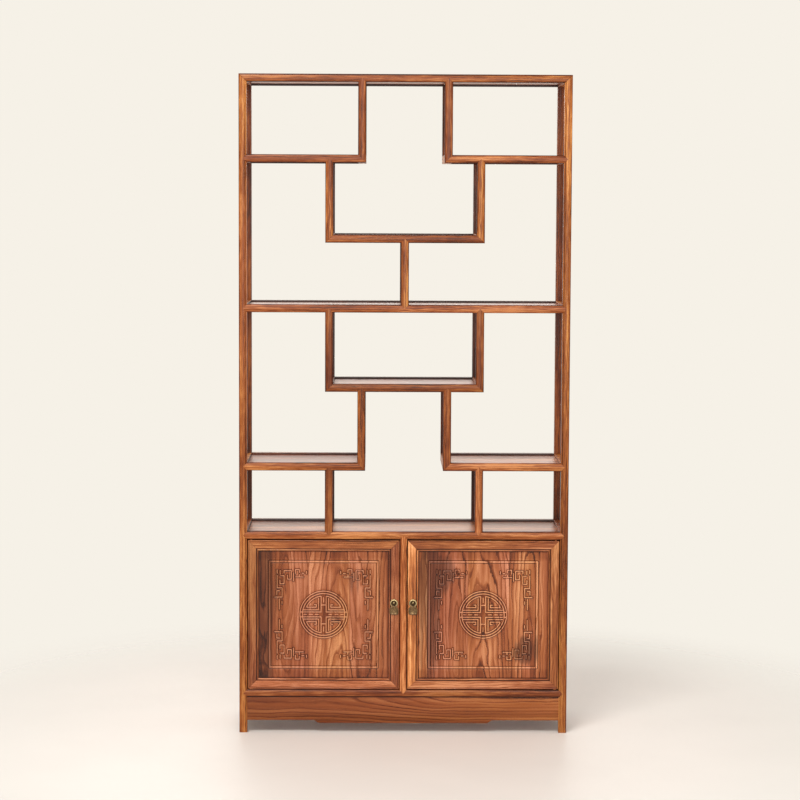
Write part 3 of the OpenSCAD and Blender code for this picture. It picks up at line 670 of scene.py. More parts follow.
def steel_material():
    """Nickel-plated steel with a turned face."""
    material = bpy.data.materials.new("plated_steel")
    t = Tree(material)
    where = t.value("TexCoord", output="Object")
    stretched = t.value("VectorMath", {0: where, 1: (900.0, 900.0, 60.0)}, operation="MULTIPLY")
    brushed = t.noise(stretched, detail=3.0)
    t.finish(t.value("BsdfPrincipled", {
        "Base Color": t.mix(brushed, rgb(176, 176, 180), rgb(206, 206, 210)), "Metallic": 1.0,
        "Roughness": t.span(brushed, 0.3, 0.7, 0.22, 0.40)}))
    return material


X, Y, Z = Vector((1, 0, 0)), Vector((0, 1, 0)), Vector((0, 0, 1))


# Sticks of the lattice, placed by the frame's own boxes
def front_stick(x, z, length, upright, width):
    """A crowned front member along X or Z, whose middle line starts at (x, z)."""
    along, across = (Z, X) if upright else (X, Z)
    m = Member(crowned(width, RAIL_D), (x, FRONT, z), along, across, Y, length)
    # Painted shade: both edges and the sides behind them are darker, most of all at an upright's right and
    # under a rail
    inner = width / 2 - SHADE_WIDTH
    low, high = (EDGE_SHADE, RIGHT_SHADE) if upright else (UNDER_SHADE, EDGE_SHADE)
    m.stains = ((-width, -inner, -MM, RAIL_D, low), (inner, width, -MM, RAIL_D, high))
    return m


def rear_stick(x, z, length, upright, width):
    along, across = (Z, X) if upright else (X, Z)
    m = Member(plain(width, RAIL_D), (x, BACK, z), along, across, -Y, length)
    # Painted shade: the rear sticks are drawn darker, most of all on the face that looks into the lattice
    m.tone = REAR_SHADE_TONE
    m.stains = ((-width, width, RAIL_D - MM, RAIL_D + MM, REAR_SHADE if upright else REAR_RAIL_SHADE),)
    return m


def nib(x, z, toward, width, parent):
    """Pointed end of a parent stick that laps onto the next member's face, at toward in the XZ plane."""
    along = Vector(toward)
    across = Vector((along.z, 0, along.x))
    reach = RAIL_H / 2
    profile = rounded_crown(width / 2) + [(width / 2, NIB_DEPTH), (-width / 2, NIB_DEPTH)]
    m = Member(profile, (x, FRONT, z), along, across, Y, reach * 1.5)
    tip = Vector((x, FRONT, z)) + along * reach
    for side in (-1, 1):
        m.cut(tip, (across * side * reach + along * width / 2).normalized())
    m.ease((0,))
    # The nib carries on its parent's painted shade along both edges
    m.stains = parent.stains[:2]
    m.seed = parent.seed
    m.length = parent.length
    m.grain_place = parent.grain_place
    return m


def mitre_plane(x_end, side, z):
    """Point and normal of the joint between a shelf's end and the upright that stands on it."""
    return (x_end, 0, z - RAIL_H), Vector((side * RAIL_H, 0, POST)).normalized()


def side_rail(x, side, z):
    """The rail at one side of a shelf, between the front and the rear one, with its outer face at x."""
    length = 2 * (BACK - POST)
    return Member(plain(RAIL_H, POST), (x, -length / 2, z), Y, Z, -side * X, length).ease()


def shelf_members(x0, x1, z, below, above):
    """Front, rear and side rails of one shelf, each end of which is at a post or is a mitred corner.
    below and above hold the middles of the uprights that meet the rails there."""
    ends = [(x, side, abs(x) > RIGHT - MM) for x, side in ((x0, -1), (x1, 1))]
    start, stop = (x - side * POST if at_post else x for x, side, at_post in ends)
    mid = z - RAIL_H / 2
    front = front_stick(start, mid, stop - start, False, RAIL_H)
    rear = rear_stick(start, mid, stop - start, False, RAIL_H)
    for x, side, at_post in ends:
        if not at_post:
            for m in (front, rear):
                m.cut(*mitre_plane(x, side, z))
    for x in below:
        front.notch(x, z - RAIL_H, Z, POST)
    for x in above:
        front.notch(x, z, -Z, POST)
    front.ease([at for at, end in zip((0, stop - start), ends) if end[2]])
    members = [front, rear.ease()]
    for x, side, at_post in ends:
        members.append(side_rail(x, side, mid))
        # Painted shade on the inner face of the side rail where the panel meets it, deep at the left end and
        # faint at the right
        members[-1].stains = ((-RAIL_H, RAIL_H, POST - EDGE / 2, POST + MM, SHELF_EDGE_SHADES[side]),)
        if at_post:
            members.append(nib(x - side * POST, mid, side * X, RAIL_H, front))
    return members


def upright_members(xc, foot, head, mitred):
    """Front and rear upright. mitred is 0 where the foot stands on a rail, or the side of the shelf's end."""
    base = foot if mitred == 0 else foot - RAIL_H
    front = front_stick(xc, base, head - base, True, POST)
    rear = rear_stick(xc, base, head - base, True, POST)
    nibs = [nib(xc, head, Z, POST, front)]
    joints = [head - base]
    if mitred == 0:
        nibs.append(nib(xc, base, -Z, POST, front))
        joints.append(0)
    else:
        point, normal = mitre_plane(xc + mitred * POST / 2, mitred, foot)
        for m in (front, rear):
            m.cut(point, -normal)
    return [front.ease(joints), rear.ease()] + nibs


def panel(node, along, across, depth, thickness):
    """Panel of a node's own size, less its tongues, which are a thinner sheet inside it."""
    low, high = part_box(node)
    length, width = (abs((high - low).dot(axis)) for axis in (along, across))
    sheets = []
    for inset, t in ((2 * (TONGUE_L + GAP), thickness), (4 * GAP, TONGUE_T)):
        origin = (low + high) / 2 - along * (length - inset) / 2 - depth * t / 2
        sheets.append(Member(plain(width - inset, t, EDGE / 2), origin, along, across, depth, length - inset))
    sheets[0].ease()
    sheets[1].seed = sheets[0].seed
    wooden(node, sheets, "panel_wood", board_wood)


# Line work of the carving, in the quadrant of positive x and z
def carved_lines():
    """Open lines as lists of points, in millimetres from the middle of the panel."""
    lines = [[(52, 133), (52, 126)],
             [(60, 127), (66, 127)],
             [(62, 115.5), (86, 115.5)],
             [(74, 115.5), (74, 123)],
             [(74, 129), (74, 138), (86, 138), (86, 126)],
             [(120.5, 127), (120.5, 135), (98.5, 135), (98.5, 108.5), (110, 108.5), (110, 121)],
             [(92, 128), (92, 104)],
             [(132.5, 124), (132.5, 135.5)],
             [(131, 119.5), (120.5, 119.5), (120.5, 94.5), (133, 94.5), (133, 106)],
             [(141.5, 137), (141.5, 127)],
             [(141.5, 120), (141.5, 82), (126.5, 82), (126.5, 53.5), (149, 53.5)],
             [(134.5, 73), (142.5, 73), (142.5, 61)],
             [(135, 48), (135, 16)],
             [(127, 41), (127, 33)],
             [(CELL_X, CELL_R - 1), (CELL_X, CELL_X), (RING_END, CELL_X)],
             [(15.5, 50), (15.5, CELL_Z), (63, CELL_Z)],
             [(52, 22.5), (22, 22.5), (22, 30), (28, 30)],
             [(0, 29), (CELL_X - 2.5, 29)],
             [(0, 38), (0, 52)]]
    for x0, x1 in ((16, 26), (34, 44), (52, 60)):
        lines.append([(x0, 0), (x1, 0)])
    return lines


def distance_to_lines(px, pz, half_w, half_h):
    """Distance of each point to the nearest carved line, and to the border that frames them."""
    nearest = np.full(px.shape, 1e3)
    for points in carved_lines():
        for (ax, az), (bx, bz) in zip(points, points[1:]):
            dx, dz = bx - ax, bz - az
            t = np.clip(((px - ax) * dx + (pz - az) * dz) / (dx * dx + dz * dz), 0, 1)
            nearest = np.minimum(nearest, np.hypot(px - ax - t * dx, pz - az - t * dz))
    radius = np.hypot(px, pz)
    for r in RING_RADII:
        nearest = np.minimum(nearest, np.abs(radius - r))
    angle = np.degrees(np.arctan2(pz, px))
    on_arc = (angle > CELL_FROM) & (angle < CELL_TO)
    nearest = np.where(on_arc, np.minimum(nearest, np.abs(radius - CELL_R)), nearest)
    bx, bz = half_w - BORDER_INSET, half_h - BORDER_INSET
    outside = np.hypot(np.maximum(px - bx, 0), np.maximum(pz - bz, 0))
    inside = np.minimum(bx - px, bz - pz)
    border = np.where((px <= bx) & (pz <= bz), inside, outside)
    return nearest, np.maximum(border - BORDER_HALF, 0)


def carved_height(d):
    """Height of the carving over the panel's face: a rounded ridge with a groove along its foot."""
    def step(x, a, b):
        s = np.clip((x - a) / (b - a), 0, 1)
        return s * s * (3 - 2 * s)
    ridge = RELIEF * (1 - step(d, RIDGE_HALF, RIDGE_FOOT))
    groove = GROOVE * step(d, RIDGE_HALF, RIDGE_FOOT) * (1 - step(d, GROOVE_MID, GROOVE_END))
    return ridge - groove


def door_panel(node, side):
    """Carved panel: a grid of points with the relief in front, and plain sides and back."""
    low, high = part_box(node)
    inset = TONGUE_L + GAP
    half_w = ((high.x - low.x) / 2 - inset) / MM
    half_h = ((high.z - low.z) / 2 - inset) / MM
    cx, cz = (low.x + high.x) / 2, (low.z + high.z) / 2
    face_y = DOOR_FACE + LEAF_BACK
    step = GRID
    nx, nz = int(2 * half_w / step), int(2 * half_h / step)
    xs, zs = np.linspace(-half_w, half_w, nx + 1), np.linspace(-half_h, half_h, nz + 1)
    gx, gz = np.meshgrid(xs, zs)
    ornament, border = distance_to_lines(np.abs(gx), np.abs(gz), half_w, half_h)
    distance = np.minimum(ornament, border)
    height = carved_height(distance)
    height[distance >= GROOVE_END] = 0.0
    ax, az = np.abs(gx), np.abs(gz)
    inside = np.hypot(ax, az) < RING_RADII[1]
    sunk = inside & ((ax < SUNK_BAND) | (az < SUNK_BAND)) & (distance > RIDGE_FOOT)
    height[sunk] = np.minimum(height[sunk], -GROOVE)
    # Darkened with painted shade and stain in the grooves, more among the corner frets and less in the sunk
    # band; painted shade round the carved lines, along the panel's edges by the frame and in a band under its
    # top rail
    shade_stain_and_joints = np.clip(-height / GROOVE, 0, 1)
    shade_stain_and_joints[np.hypot(ax, az) > RING_RADII[0] + GROOVE_END] *= FRET_SHADE_AND_STAIN
    shade_stain_and_joints[sunk] = SUNK_SHADE_AND_STAIN
    shade_stain_and_joints = np.maximum(shade_stain_and_joints, HALO_SHADE * np.exp(-(ornament / HALO_REACH) ** 2) * (distance > RIDGE_FOOT))
    to_edge = np.minimum(half_w - ax, half_h - az)
    shade_stain_and_joints = np.maximum(shade_stain_and_joints, PANEL_EDGE_SHADE * np.exp(-(to_edge / EDGE_REACH) ** 2))
    shade_stain_and_joints += PANEL_TOP_SHADE * np.clip((az - half_h + TOP_BAND) / TOP_BLEND, 0, 1)
    # Painted highlight on the crests, weaker on the border, with the boards' pale patches added
    highlight_and_pale = np.clip(height / RELIEF, 0, 1) * np.where(border < ornament, BORDER_HIGHLIGHT, 1)
    highlight_and_pale += PALE * pale_patches(gx, gz, side)
    front = np.stack([cx + gx * MM, face_y - height * MM, cz + gz * MM], -1).reshape(-1, 3)
    idx = np.arange((nx + 1) * (nz + 1)).reshape(nz + 1, nx + 1)
    quads = np.stack([idx[:-1, :-1], idx[:-1, 1:], idx[1:, 1:], idx[1:, :-1]], -1).reshape(-1, 4)
    edge = np.concatenate([idx[0], idx[1:, -1], idx[-1, -2::-1], idx[-2:0:-1, 0]])
    rim = front[edge]
    rim[:, 1] = face_y + LEAF_T
    verts = np.concatenate([front, rim])
    back = len(front) + np.arange(len(edge))
    walls = np.stack([edge, back, np.roll(back, -1), np.roll(edge, -1)], -1)
    mesh = bpy.data.meshes.new(node)
    mesh.from_pydata(verts.tolist(), [], quads.tolist() + walls.tolist() + [back.tolist()[::-1]])
    grain = np.stack([verts[:, 2] - cz, verts[:, 0] - cx, verts[:, 1] - face_y], -1)
    set_grain(mesh, grain, CARVED_SEED + side, RIGHT_PANEL_TONE if side > 0 else 1.0)
    layers = {"shade_stain_and_joints": shade_stain_and_joints, "highlight_and_pale": highlight_and_pale, "heartwood": heartwood(gx, gz, half_w, side)}
    for name, values in layers.items():
        keep(mesh, name, np.concatenate([values.ravel(), np.zeros(len(edge))]))
    return [mesh]


def blots(x, z, spots):
    """Soft patches, each given by its strength, its middle and its half width and height."""
    return sum(k * np.exp(-(((x - cx) / rx) ** 2 + ((z - cz) / rz) ** 2)) for k, cx, cz, rx, rz in spots)


def heartwood(x, z, half_w, side):
    """Where the boards of a door are dark: an edge of the left one, two patches of the right one."""
    if side < 0:
        spots = ((1.1, -half_w, 20, 58, 420), (0.5, 90, 100, 34, 60))
    else:
        spots = ((0.8, -150, 130, 90, 70), (0.9, 130, -110, 42, 55), (0.75, -165, -40, 44, 260))
    return np.clip(blots(x, z, spots), 0, 1)


def pale_patches(x, z, side):
    """Where the boards of a door are palest."""
    if side < 0:
        return blots(x, z, ((1.0, 0, 115, 50, 50), (1.1, 95, -100, 45, 60)))
    return blots(x, z, ((1.2, 0, -115, 60, 60), (1.0, 95, 60, 40, 90)))


# Brass
PLATE_T = 1.5 * MM
STAPLE_R = 4.5 * MM
STAPLE_D = 3 * MM
STAPLE_LEG = 12 * MM
RING_R = 4.2 * MM
RING_D = 1.8 * MM
DROP_T = 1.6 * MM
NECK = 8 * MM
FOOT = 7 * MM
FOOT_RISE = 5.5 * MM
DISH_LOW = 2 * MM
FOOT_SHADE = 2.2
RING_PATINA = 0.3
HIGHLIGHT_TURN = math.radians(-20)
TURN_STEPS = 64
WIRE_STEPS = 14
STAPLE_STEPS = 24
RING_STEPS = 40
PIN_STEPS = 24
PIN_SEED = 77


def lathe(profile, centre):
    """Turned mesh about the Y axis through centre: the profile lists (radius, height over the door)."""
    return skinned("turned", [[(centre.x + r * math.cos(a), centre.y - h, centre.z + r * math.sin(a))
                               for a in turn(TURN_STEPS)] for r, h in profile])


def wire(points, radius, closed):
    """Round wire along points, with filled ends unless it is a closed ring."""
    n = len(points)
    rings = []
    for k, p in enumerate(points):
        before = points[k - 1] if k > 0 or closed else p
        after = points[(k + 1) % n] if k < n - 1 or closed else p
        along = (after - before).normalized()
        side = along.cross(X if abs(along.x) < 0.9 else Y).normalized()
        other = along.cross(side)
        rings.append([p + side * radius * math.cos(a) + other * radius * math.sin(a)
                      for a in turn(WIRE_STEPS)])
    return skinned("wire", rings, closed)


def handle_plate(node):
    """Back plate: a bright domed rim round a dark dish, with a boss in the middle, whose dark is painted
    shade under the staple.
    Each row of the outline is a radius, a height, and how dark and how bright the brass is drawn there:
    patina and painted shade, wear and painted highlight."""
    low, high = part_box(node)
    centre = (low + high) / 2
    r = (high.x - low.x) / 2 / MM
    outline = [(r, 0, 0.7, 0), (r, 0.4, 0.4, 0), (r - 0.5, 1.0, 0, 0.1), (r - 1.5, 1.45, 0, 0.5),
               (r - 2.6, 1.5, 0, 0.6), (r - 3.8, 1.2, 0.1, 0.3), (r - 4.8, 0.7, 0.9, 0),
               (r - 5.8, 0.45, 1, 0), (r - 6.9, 0.45, 1, 0), (r - 7.3, 1.0, 0.7, 0),
               (r - 8.0, 1.4, 0.5, 0), (0.4, 1.5, 0.9, 0)]
    mesh = lathe([(row[0] * MM, row[1] * MM) for row in outline], Vector((centre.x, high.y, centre.z)))
    # Painted highlight: the rim's wear shows brighter on its upper side
    upward = [0.5 + 0.5 * math.sin(a - HIGHLIGHT_TURN) for a in turn(TURN_STEPS)]
    keep(mesh, "patina_and_shade", [row[2] for row in outline for _ in upward])
    keep(mesh, "wear_and_highlight", [row[3] * (0.3 + up) for row in outline for up in upward])
    return [mesh]


def handle_staple(node):
    low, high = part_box(node)
    x, z = (low.x + high.x) / 2, (low.z + high.z) / 2
    root_y = high.y - STAPLE_LEG - PLATE_T
    bend = [Vector((x, root_y - STAPLE_R * math.sin(a), z + STAPLE_R * math.cos(a)))
            for a in (math.pi * i / STAPLE_STEPS for i in range(STAPLE_STEPS + 1))]
    points = [Vector((x, high.y, z + STAPLE_R))] + bend + [Vector((x, high.y, z - STAPLE_R))]
    mesh = wire(points, STAPLE_D / 2, False)
    # Painted highlight on the top of the staple's bend and painted shade on its lower half
    above = np.array([(v.co.z - z) / STAPLE_R for v in mesh.vertices])
    keep(mesh, "wear_and_highlight", np.clip(1.4 * above, 0, 1))
    keep(mesh, "patina_and_shade", np.clip(0.5 - above, 0, 1))
    return [mesh]


def drop_outline(length, width, neck, rise):
    """Half of the drop's outline below its ring: full shoulders, straight sides and a curved foot."""
    angles = [math.pi / 2 * i / 8 for i in range(9)]
    shoulder = width * 0.36
    top = [(neck / 2 + (width - neck) / 2 * math.sin(a), shoulder * (1 - math.cos(a))) for a in angles]
    foot = [(width / 2 * math.cos(a) ** 0.6, length - rise + rise * math.sin(a)) for a in angles[1:]]
    return top + foot


def handle_drop(node):
    """Ring and bell-shaped tag, with a raised border round the tag's face."""
    low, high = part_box(node)
    x, y = (low.x + high.x) / 2, (low.y + high.y) / 2
    ring_c = Vector((x, y, high.z - RING_D / 2 - RING_R))
    ring = [ring_c + RING_R * Vector((math.cos(a), 0, math.sin(a))) for a in turn(RING_STEPS)]
    top = ring_c.z - RING_R
    half = drop_outline(top - low.z, high.x - low.x, NECK, FOOT_RISE)
    outline = [(x + a, top - b) for a, b in half] + [(x - a, top - b) for a, b in half[-2::-1]]
    middle_z = (top + low.z) / 2 - DISH_LOW
    # Scale of the outline, depth and patina of each layer, from the back to the middle of the face
    layers = ((1.0, 0.5, 0.1), (1.0, -0.25, 0.25), (0.965, -0.5, 0.2), (0.90, -0.5, 0.25),
              (0.86, -0.28, 0.25), (0.3, -0.18, 0.05))
    tag = skinned("tag", [[(x + (px - x) * scale, y + depth * DROP_T, middle_z + (pz - middle_z) * scale)
                           for px, pz in outline] for scale, depth, _ in layers])
    # Painted shade: the tag is drawn darker along its foot
    darkening = [FOOT_SHADE if pz < low.z + FOOT else 1 for _, pz in outline]
    keep(tag, "patina_and_shade", [patina_and_shade * more for _, _, patina_and_shade in layers for more in darkening])
    loop = wire(ring, RING_D / 2, True)
    keep(loop, "patina_and_shade", np.full(len(loop.vertices), RING_PATINA))
    return [loop, tag]


def pin(x, y, z0, z1, r):
    """A turned pivot with eased ends."""
    e = 0.5 * MM
    profile = ((r - e, z0), (r, z0 + e), (r, z1 - e), (r - e, z1))
    mesh = skinned("pin", [[(x + q * math.cos(a), y + q * math.sin(a), z) for a in turn(PIN_STEPS)]
                           for q, z in profile])
    points = np.array([v.co for v in mesh.vertices])
    set_grain(mesh, points[:, [2, 0, 1]] - np.array([z0, x, y]), PIN_SEED)
    return mesh


def door_frame(node, side):
    """Two stiles and two rails with mitred corners, and the pivots of the hinge stile."""
    low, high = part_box(node)
    x0, x1 = low.x, high.x
    z0, z1 = DOOR_Z
    profile = door_profile()
    inner = STILE - INNER_BEAD
    meshes = []
    sticks = {"left": (x0, z0, Z, X, z1 - z0), "right": (x1, z0, Z, -X, z1 - z0),
              "bottom": (x0, z0, X, Z, x1 - x0), "top": (x0, z1, X, -Z, x1 - x0)}
    for which, (ox, oz, along, across, length) in sticks.items():
        m = Member(profile, (ox, DOOR_FACE, oz), along, across, Y, length)
        m.tone = DOOR_TONES[side, which]
        start = Vector((ox, DOOR_FACE, oz))
        m.cut(start, (across - along).normalized())
        m.cut(start + along * length, (along + across).normalized())
        # Painted shade: in the gap at the door's outer edge, in the quirk behind the outer bead, as a dark
        # line by the inner bead, and on the inner edge beside the panel
        m.stains = ((-MM, QUIRK, 1.5 * RIM_DEPTH, 3 * RIM_DEPTH, 1), (RIM, RIM + QUIRK, MM, SUNK, 0.4),
                    (inner - QUIRK - DARK_LINE / 2, inner + QUIRK, -MM, 2 * SUNK, 0.9),
                    (STILE - QUIRK, STILE + QUIRK, INNER_BEAD / 2, LEAF_BACK + LEAF_T, 1))
        meshes.append(m.ease().mesh(node))
    pivot_x = (x0 if side < 0 else x1) - side * PIN_IN
    pins = ((z1 - MM, high.z, PIN_D), (low.z, z0 + MM, PIN_D), (BASE_TOP + GAP, z0 + MM, COLLAR_D))
    for foot, head, d in pins:
        meshes.append(pin(pivot_x, DOOR_FACE + PIN_BACK, foot, head, d / 2))
    return meshes


def apron(node):
    """Apron board with eased edges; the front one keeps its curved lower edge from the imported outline."""
    bm = bmesh.new()
    bm.from_mesh(frame["nodes"][node].data)
    bmesh.ops.remove_doubles(bm, verts=bm.verts, dist=1e-6)
    bmesh.ops.dissolve_limit(bm, angle_limit=math.radians(0.5), verts=bm.verts, edges=bm.edges)
    sharp = [e for e in bm.edges
             if len(e.link_faces) == 2 and e.calc_face_angle() > math.radians(SHARP_APRON)]
    bmesh.ops.bevel(bm, geom=sharp, offset=EDGE, segments=2, affect="EDGES", clamp_overlap=True)
    mesh = baked(bm, node)
    low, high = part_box(node)
    points = np.array([v.co for v in mesh.vertices]) - np.array((low + high) / 2)
    order = [0, 2, 1] if high.x - low.x > high.y - low.y else [1, 2, 0]
    paling = 1 + APRON_PALING * points[:, 0] / RIGHT + APRON_RISE * points[:, 2] / (high.z - low.z) * 2
    Member.count += 1
    set_grain(mesh, points[:, order], Member.count, TONES.get(node, 1.0) * paling)
    return [mesh]


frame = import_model()
BODY_OF = {n: body for body, nodes in frame["record"]["behaviour"]["bodies"].items() for n in nodes}
low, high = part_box("front_left_post")
FRONT = low.y
LEFT = low.x
TOP = high.z
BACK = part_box("rear_left_post")[1].y
RIGHT = -LEFT
DOOR_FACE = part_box("left_door_frame")[0].y
low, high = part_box("left_door_panel")
DOOR_Z = (low.z + TONGUE_L - STILE, high.z - TONGUE_L + STILE)

STICK = {"board": 2.0, "ring": 7 * MM, "bend": 22 * MM, "slope": 0.06, "haze": 0.14}
lattice_wood = wood_material("lattice_wood", coat=0.12, hue_shift=(1.0, 0.66), lines=0.7, mottle=1.25,
                             fleck=0.95, **STICK)
door_wood = wood_material("door_wood", coat=0.3, hue_shift=(1.03, 0.92), lines=0.6, mottle=1.15,
                          fleck=0.7, **STICK)
board_wood = wood_material("board_wood", 0.125, 12 * MM, 20 * MM, 0.22, 0.6, 0.28, (1.0, 0.9))
apron_wood = wood_material("apron_wood", 2.0, 8.5 * MM, 9 * MM, 0.0, 0.3, 0.2, (0.97, 0.82), lines=0.8,
                           mottle=0.4, flame=True)
carved_wood = wood_material("carved_wood", 0.125, 11 * MM, 22 * MM, 0.30, 0.18, 0.2, (1.02, 1.06), lines=0.8,
                            mottle=0.85, carved=True)
brass = brass_material()
steel = steel_material()


def top_of(name):
    """Height of a frame's upper face."""
    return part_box(f"{name}_frame")[1].z


def ends_of(node):
    low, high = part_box(node)
    return low.x, high.x


BASE_TOP = top_of("base")


# Middles of the uprights that meet each shelf's rails from below, and from above with a nib
IN = abs(sum(ends_of("tier1_left_uprights")) / 2)
OUT = abs(sum(ends_of("tier2_left_uprights")) / 2)
SHELVES = {
    "upper_left_shelf": ([-OUT], []),
    "upper_right_shelf": ([OUT], []),
    "upper_middle_shelf": ([0], []),
    "long_shelf": ([-OUT, OUT], [0]),
    "lower_middle_shelf": ([-IN, IN], []),
    "lower_left_shelf": ([-OUT], []),
    "lower_right_shelf": ([OUT], []),
    "cabinet_top": ([0], [-OUT, OUT]),
    "base": ([], [0]),
}
for name, (below, above) in SHELVES.items():
    node = name + "_frame"
    members = shelf_members(*ends_of(node), top_of(name), below, above)
    if name == "base":
        # Painted shade along the foot of the base's front rail, over the apron
        members[0].stains += ((-RAIL_H, 2 * SHADE_WIDTH - RAIL_H / 2, -MM, RAIL_D, BASE_FOOT_SHADE),)
    lattice(node, members)
    panel(name + "_panel", X, Y, Z, PANEL_T)

# Uprights of each tier: how far from the middle, the shelf they stand on and the rail over them, where {}
# is the side, and which face of the foot is mitred: 1 the outer one, -1 the inner one, 0 none
UPRIGHTS = (
    ("tier1", IN, "upper_{}_shelf", "top", -1),
    ("tier2", OUT, "upper_middle_shelf", "upper_{}_shelf", 1),
    ("tier3", 0, "long_shelf", "upper_middle_shelf", 0),
    ("tier4", OUT, "lower_middle_shelf", "long_shelf", 1),
    ("tier5", IN, "lower_{}_shelf", "lower_middle_shelf", -1),
    ("tier6", OUT, "cabinet_top", "lower_{}_shelf", 0),
)
SIDES = ((-1, "left"), (1, "right"))
for tier, x, foot, head, mitred in UPRIGHTS:
    for side, name in SIDES if x else ((1, ""),):
        z0, z1 = top_of(foot.format(name)), top_of(head.format(name)) - RAIL_H
        node = f"{tier}_{name}_uprights" if name else f"{tier}_uprights"
        lattice(node, upright_members(side * x, z0, z1, side * mitred))

# Posts and the top frame meet in mitres
RAIL_TOPS = [top_of(n) for n in ("upper_left_shelf", "long_shelf", "lower_left_shelf", "cabinet_top", "base")]
for side, name in SIDES:
    outer = side * RIGHT
    middle = outer - side * POST / 2
    front = Member(post_profile(), (middle, FRONT, 0), Z, -side * X, Y, TOP)
    rear = Member(plain(POST, POST), (middle, BACK, 0), Z, -side * X, -Y, TOP)
    for m in (front, rear):
        m.cut((outer, 0, TOP), (-side, 0, 1))
    for z in RAIL_TOPS:
        front.notch(outer - side * POST, z - RAIL_H / 2, side * X, RAIL_H)
    # Painted shade: in the groove by the bead, along the outer edge and on the inner side face
    front.stains = ((POST / 2 - BEAD - QUIRK, POST / 2 - BEAD + QUIRK, SUNK, SUNK * 2, 1),
                    (-POST, SHADE_WIDTH - POST / 2, -MM, CROWN + 2 * EDGE, EDGE_SHADE),
                    (POST / 2 - EDGE, POST, BEAD, POST, EDGE_SHADE))
    lattice(f"front_{name}_post", [front.ease()])
    # Painted shade: the rear post is drawn darker, most of all its front face, less so on the right
    rear.tone = REAR_SHADE_TONE
    rear.stains = ((-POST, POST, POST - MM, POST + MM, REAR_SHADE if side < 0 else REAR_RIGHT_SHADE),)
    lattice(f"rear_{name}_post", [rear.ease()])

top_members = []
for stick in (front_stick, rear_stick):
    m = stick(LEFT, TOP - RAIL_H / 2, RIGHT - LEFT, False, RAIL_H)
    for side in (-1, 1):
        m.cut((side * RIGHT, 0, TOP), (side, 0, -1))
    if stick is front_stick:
        # Painted shade along the upper edge of the front top rail
        m.stains += ((RAIL_H / 2 - 2 * SHADE_WIDTH, RAIL_H, -MM, RAIL_D, TOP_EDGE_SHADE),)
        for x in (-IN, IN):
            m.notch(x, TOP - RAIL_H, Z, POST)
    else:
        # Painted shade on the front face of the rear top rail
        m.stains = ((-RAIL_H, RAIL_H, RAIL_D - MM, RAIL_D + MM, 1),)
    top_members.append(m.ease())
for side in (-1, 1):
    top_members.append(side_rail(side * RIGHT, side, TOP - RAIL_H / 2))
lattice("top_frame", top_members)
panel("top_panel", X, Y, Z, PANEL_T)

# Cabinet
panel("left_side_panel", Z, Y, X, BOARD_T)
panel("right_side_panel", Z, Y, X, BOARD_T)
panel("back_panel", X, Z, Y, BOARD_T)
low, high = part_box("door_mullion")
width = high.x - low.x
rail_foot = top_of("cabinet_top") - RAIL_H
mullion = front_stick(0, BASE_TOP, rail_foot - BASE_TOP, True, width)
mullion.ease((0, rail_foot - BASE_TOP))
lattice("door_mullion", [mullion, nib(0, rail_foot, Z, width, mullion), nib(0, BASE_TOP, -Z, width, mullion)])
for name in ("front", "rear", "left", "right"):
    place(f"{name}_apron", apron(f"{name}_apron"), "frame_wood", apron_wood)

for side, name in SIDES:
    door = f"{name}_door"
    place(f"{door}_frame", door_frame(f"{door}_frame", side), "frame_wood", door_wood)
    place(f"{door}_panel", door_panel(f"{door}_panel", side), "carved_wood", carved_wood, SHARP_CARVING)
    for kind, make in (("plate", handle_plate), ("staple", handle_staple), ("drop", handle_drop)):
        node = f"{name}_handle_{kind}"
        place(node, make(node), "brass", brass, SHARP_BRASS)
    for kind, material in (("catch", lattice_wood), ("magnet", steel), ("strike", steel)):
        o = frame["nodes"][f"{name}_{kind}"]
        o.data.materials.clear()
        o.data.materials.append(material)

# Floor, which fades into the background away from the cabinet
FLOOR_COLOUR = rgb(250, 244, 238)
BACKDROP = rgb(246, 241, 231)
FADE_FROM = 0.9
FADE_TO = 1.9
WORLD_COLOUR = rgb(250, 246, 240)
WORLD_LIGHT = 0.48
LAMP_COLOUR = (1.0, 0.975, 0.94)


def floor():
    bm = bmesh.new()
    bmesh.ops.create_circle(bm, cap_ends=True, segments=96, radius=FADE_TO + 0.1)
    mesh = bpy.data.meshes.new("floor")
    bm.to_mesh(mesh)
    bm.free()
    material = bpy.data.materials.new("pale_floor")
    t = Tree(material)
    where = t.value("TexCoord", output="Object")
    radius = t.value("VectorMath", {0: where}, "Value", operation="LENGTH")
    mottle = t.span(t.noise(where, 3.0), 0.3, 0.7, 0.98, 1.0)
    colour = t.mix(1.0, FLOOR_COLOUR, t.vector(mottle, mottle, mottle), blend="MULTIPLY")
    ground = t.value("BsdfPrincipled", {"Base Color": colour, "Roughness": 0.5})
    t.finish(t.value("MixShader", {0: t.span(radius, FADE_FROM, FADE_TO), 1: ground,
                                   2: t.value("BsdfTransparent")}))
    mesh.materials.append(material)
    linked("floor", mesh)


def world():
    """A pale background for the camera, reflections and clear things, over a dimmer light from all around."""
    w = bpy.data.worlds.new("studio")
    bpy.context.scene.world = w
    t = Tree(w)
    path = t.add("LightPath").outputs
    view, gloss, clear = (Value(t, path[f"Is {kind} Ray"]) for kind in ("Camera", "Glossy", "Transmission"))
    seen = t.math("MAXIMUM", t.math("MAXIMUM", view, gloss), clear)
    lit = t.value("Background", {0: WORLD_COLOUR, 1: WORLD_LIGHT})
    t.finish(t.value("MixShader", {0: seen, 1: lit, 2: t.value("Background", {0: BACKDROP, 1: 1.0})}))


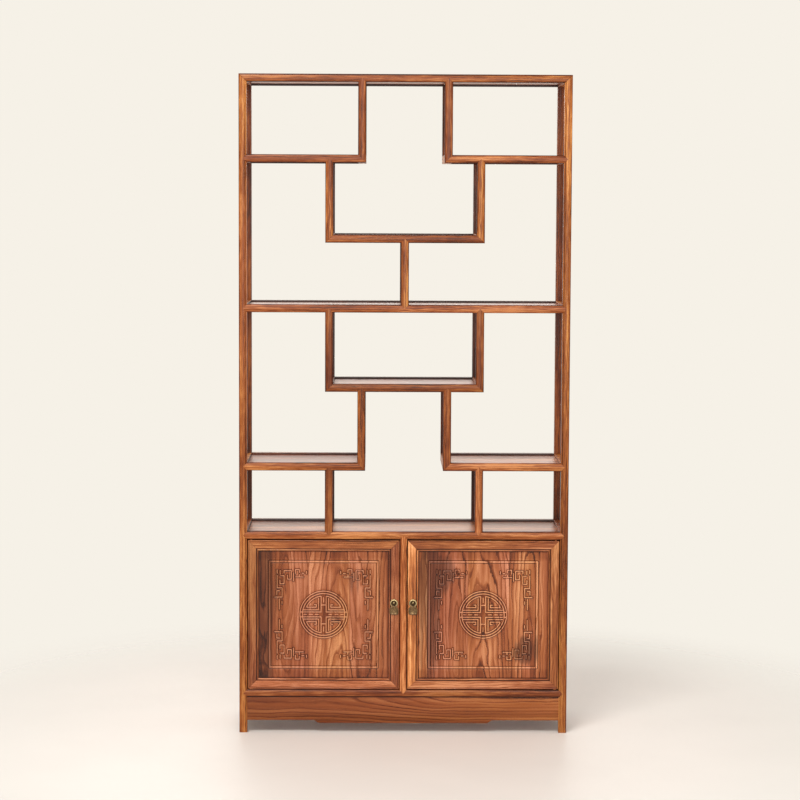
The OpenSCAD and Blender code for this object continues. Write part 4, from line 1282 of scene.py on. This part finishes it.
def soft_light(name, location, target, size, power, beam=180, glossy=True):
    data = bpy.data.lights.new(name, "AREA")
    data.shape = "RECTANGLE"
    data.size, data.size_y = size
    data.energy = power
    data.spread = math.radians(beam)
    data.color = LAMP_COLOUR
    o = linked(name, data)
    o.visible_glossy = glossy
    o.location = location
    o.rotation_euler = (Vector(target) - Vector(location)).to_track_quat("-Z", "Y").to_euler()


# Camera, from a fit of its place to the photograph's edges
CAMERA_X = -0.086
CAMERA_Y = -7.316
CAMERA_Z = 1.649
YAW = math.radians(0.582)
PITCH = math.radians(4.998)
ROLL = math.radians(0.248)
FOCAL_PX = 2379.2
PICTURE_PX = 800
SENSOR_MM = 36


def camera():
    data = bpy.data.cameras.new("camera")
    data.sensor_width = SENSOR_MM
    data.lens = FOCAL_PX / PICTURE_PX * SENSOR_MM
    data.clip_end = 100
    o = linked("camera", data)
    forward = Vector((math.sin(YAW) * math.cos(PITCH), math.cos(YAW) * math.cos(PITCH), -math.sin(PITCH)))
    right = Vector((math.cos(YAW), -math.sin(YAW), 0))
    up = right.cross(forward)
    right, up = right * math.cos(ROLL) + up * math.sin(ROLL), up * math.cos(ROLL) - right * math.sin(ROLL)
    axes = Matrix((right, up, -forward)).transposed().to_4x4()
    o.matrix_world = Matrix.Translation((CAMERA_X, CAMERA_Y, CAMERA_Z)) @ axes
    bpy.context.scene.camera = o


floor()
world()
soft_light("key", (-1.3, -3.4, 4.2), (0, 0, 1.0), (2.0, 1.6), 145)
soft_light("fill", (0.2, -5.6, 1.9), (0, 0, 0.9), (2.4, 2.4), 80)
soft_light("back", (-0.3, 4.4, 3.0), (0, 0, 1.0), (3.0, 1.6), 32)
soft_light("rear", (0, 4.4, 1.0), (0, 0, 1.3), (2.6, 1.4), 18, beam=45, glossy=False)
soft_light("right", (4.6, 0, 0.7), (0, 0, 1.5), (1.6, 1.4), 8.5, beam=45, glossy=False)
soft_light("left", (-4.6, 0, 0.7), (0, 0, 1.5), (1.6, 1.4), 6.5, beam=45, glossy=False)
camera()
bpy.context.scene.view_settings.view_transform = "Standard"
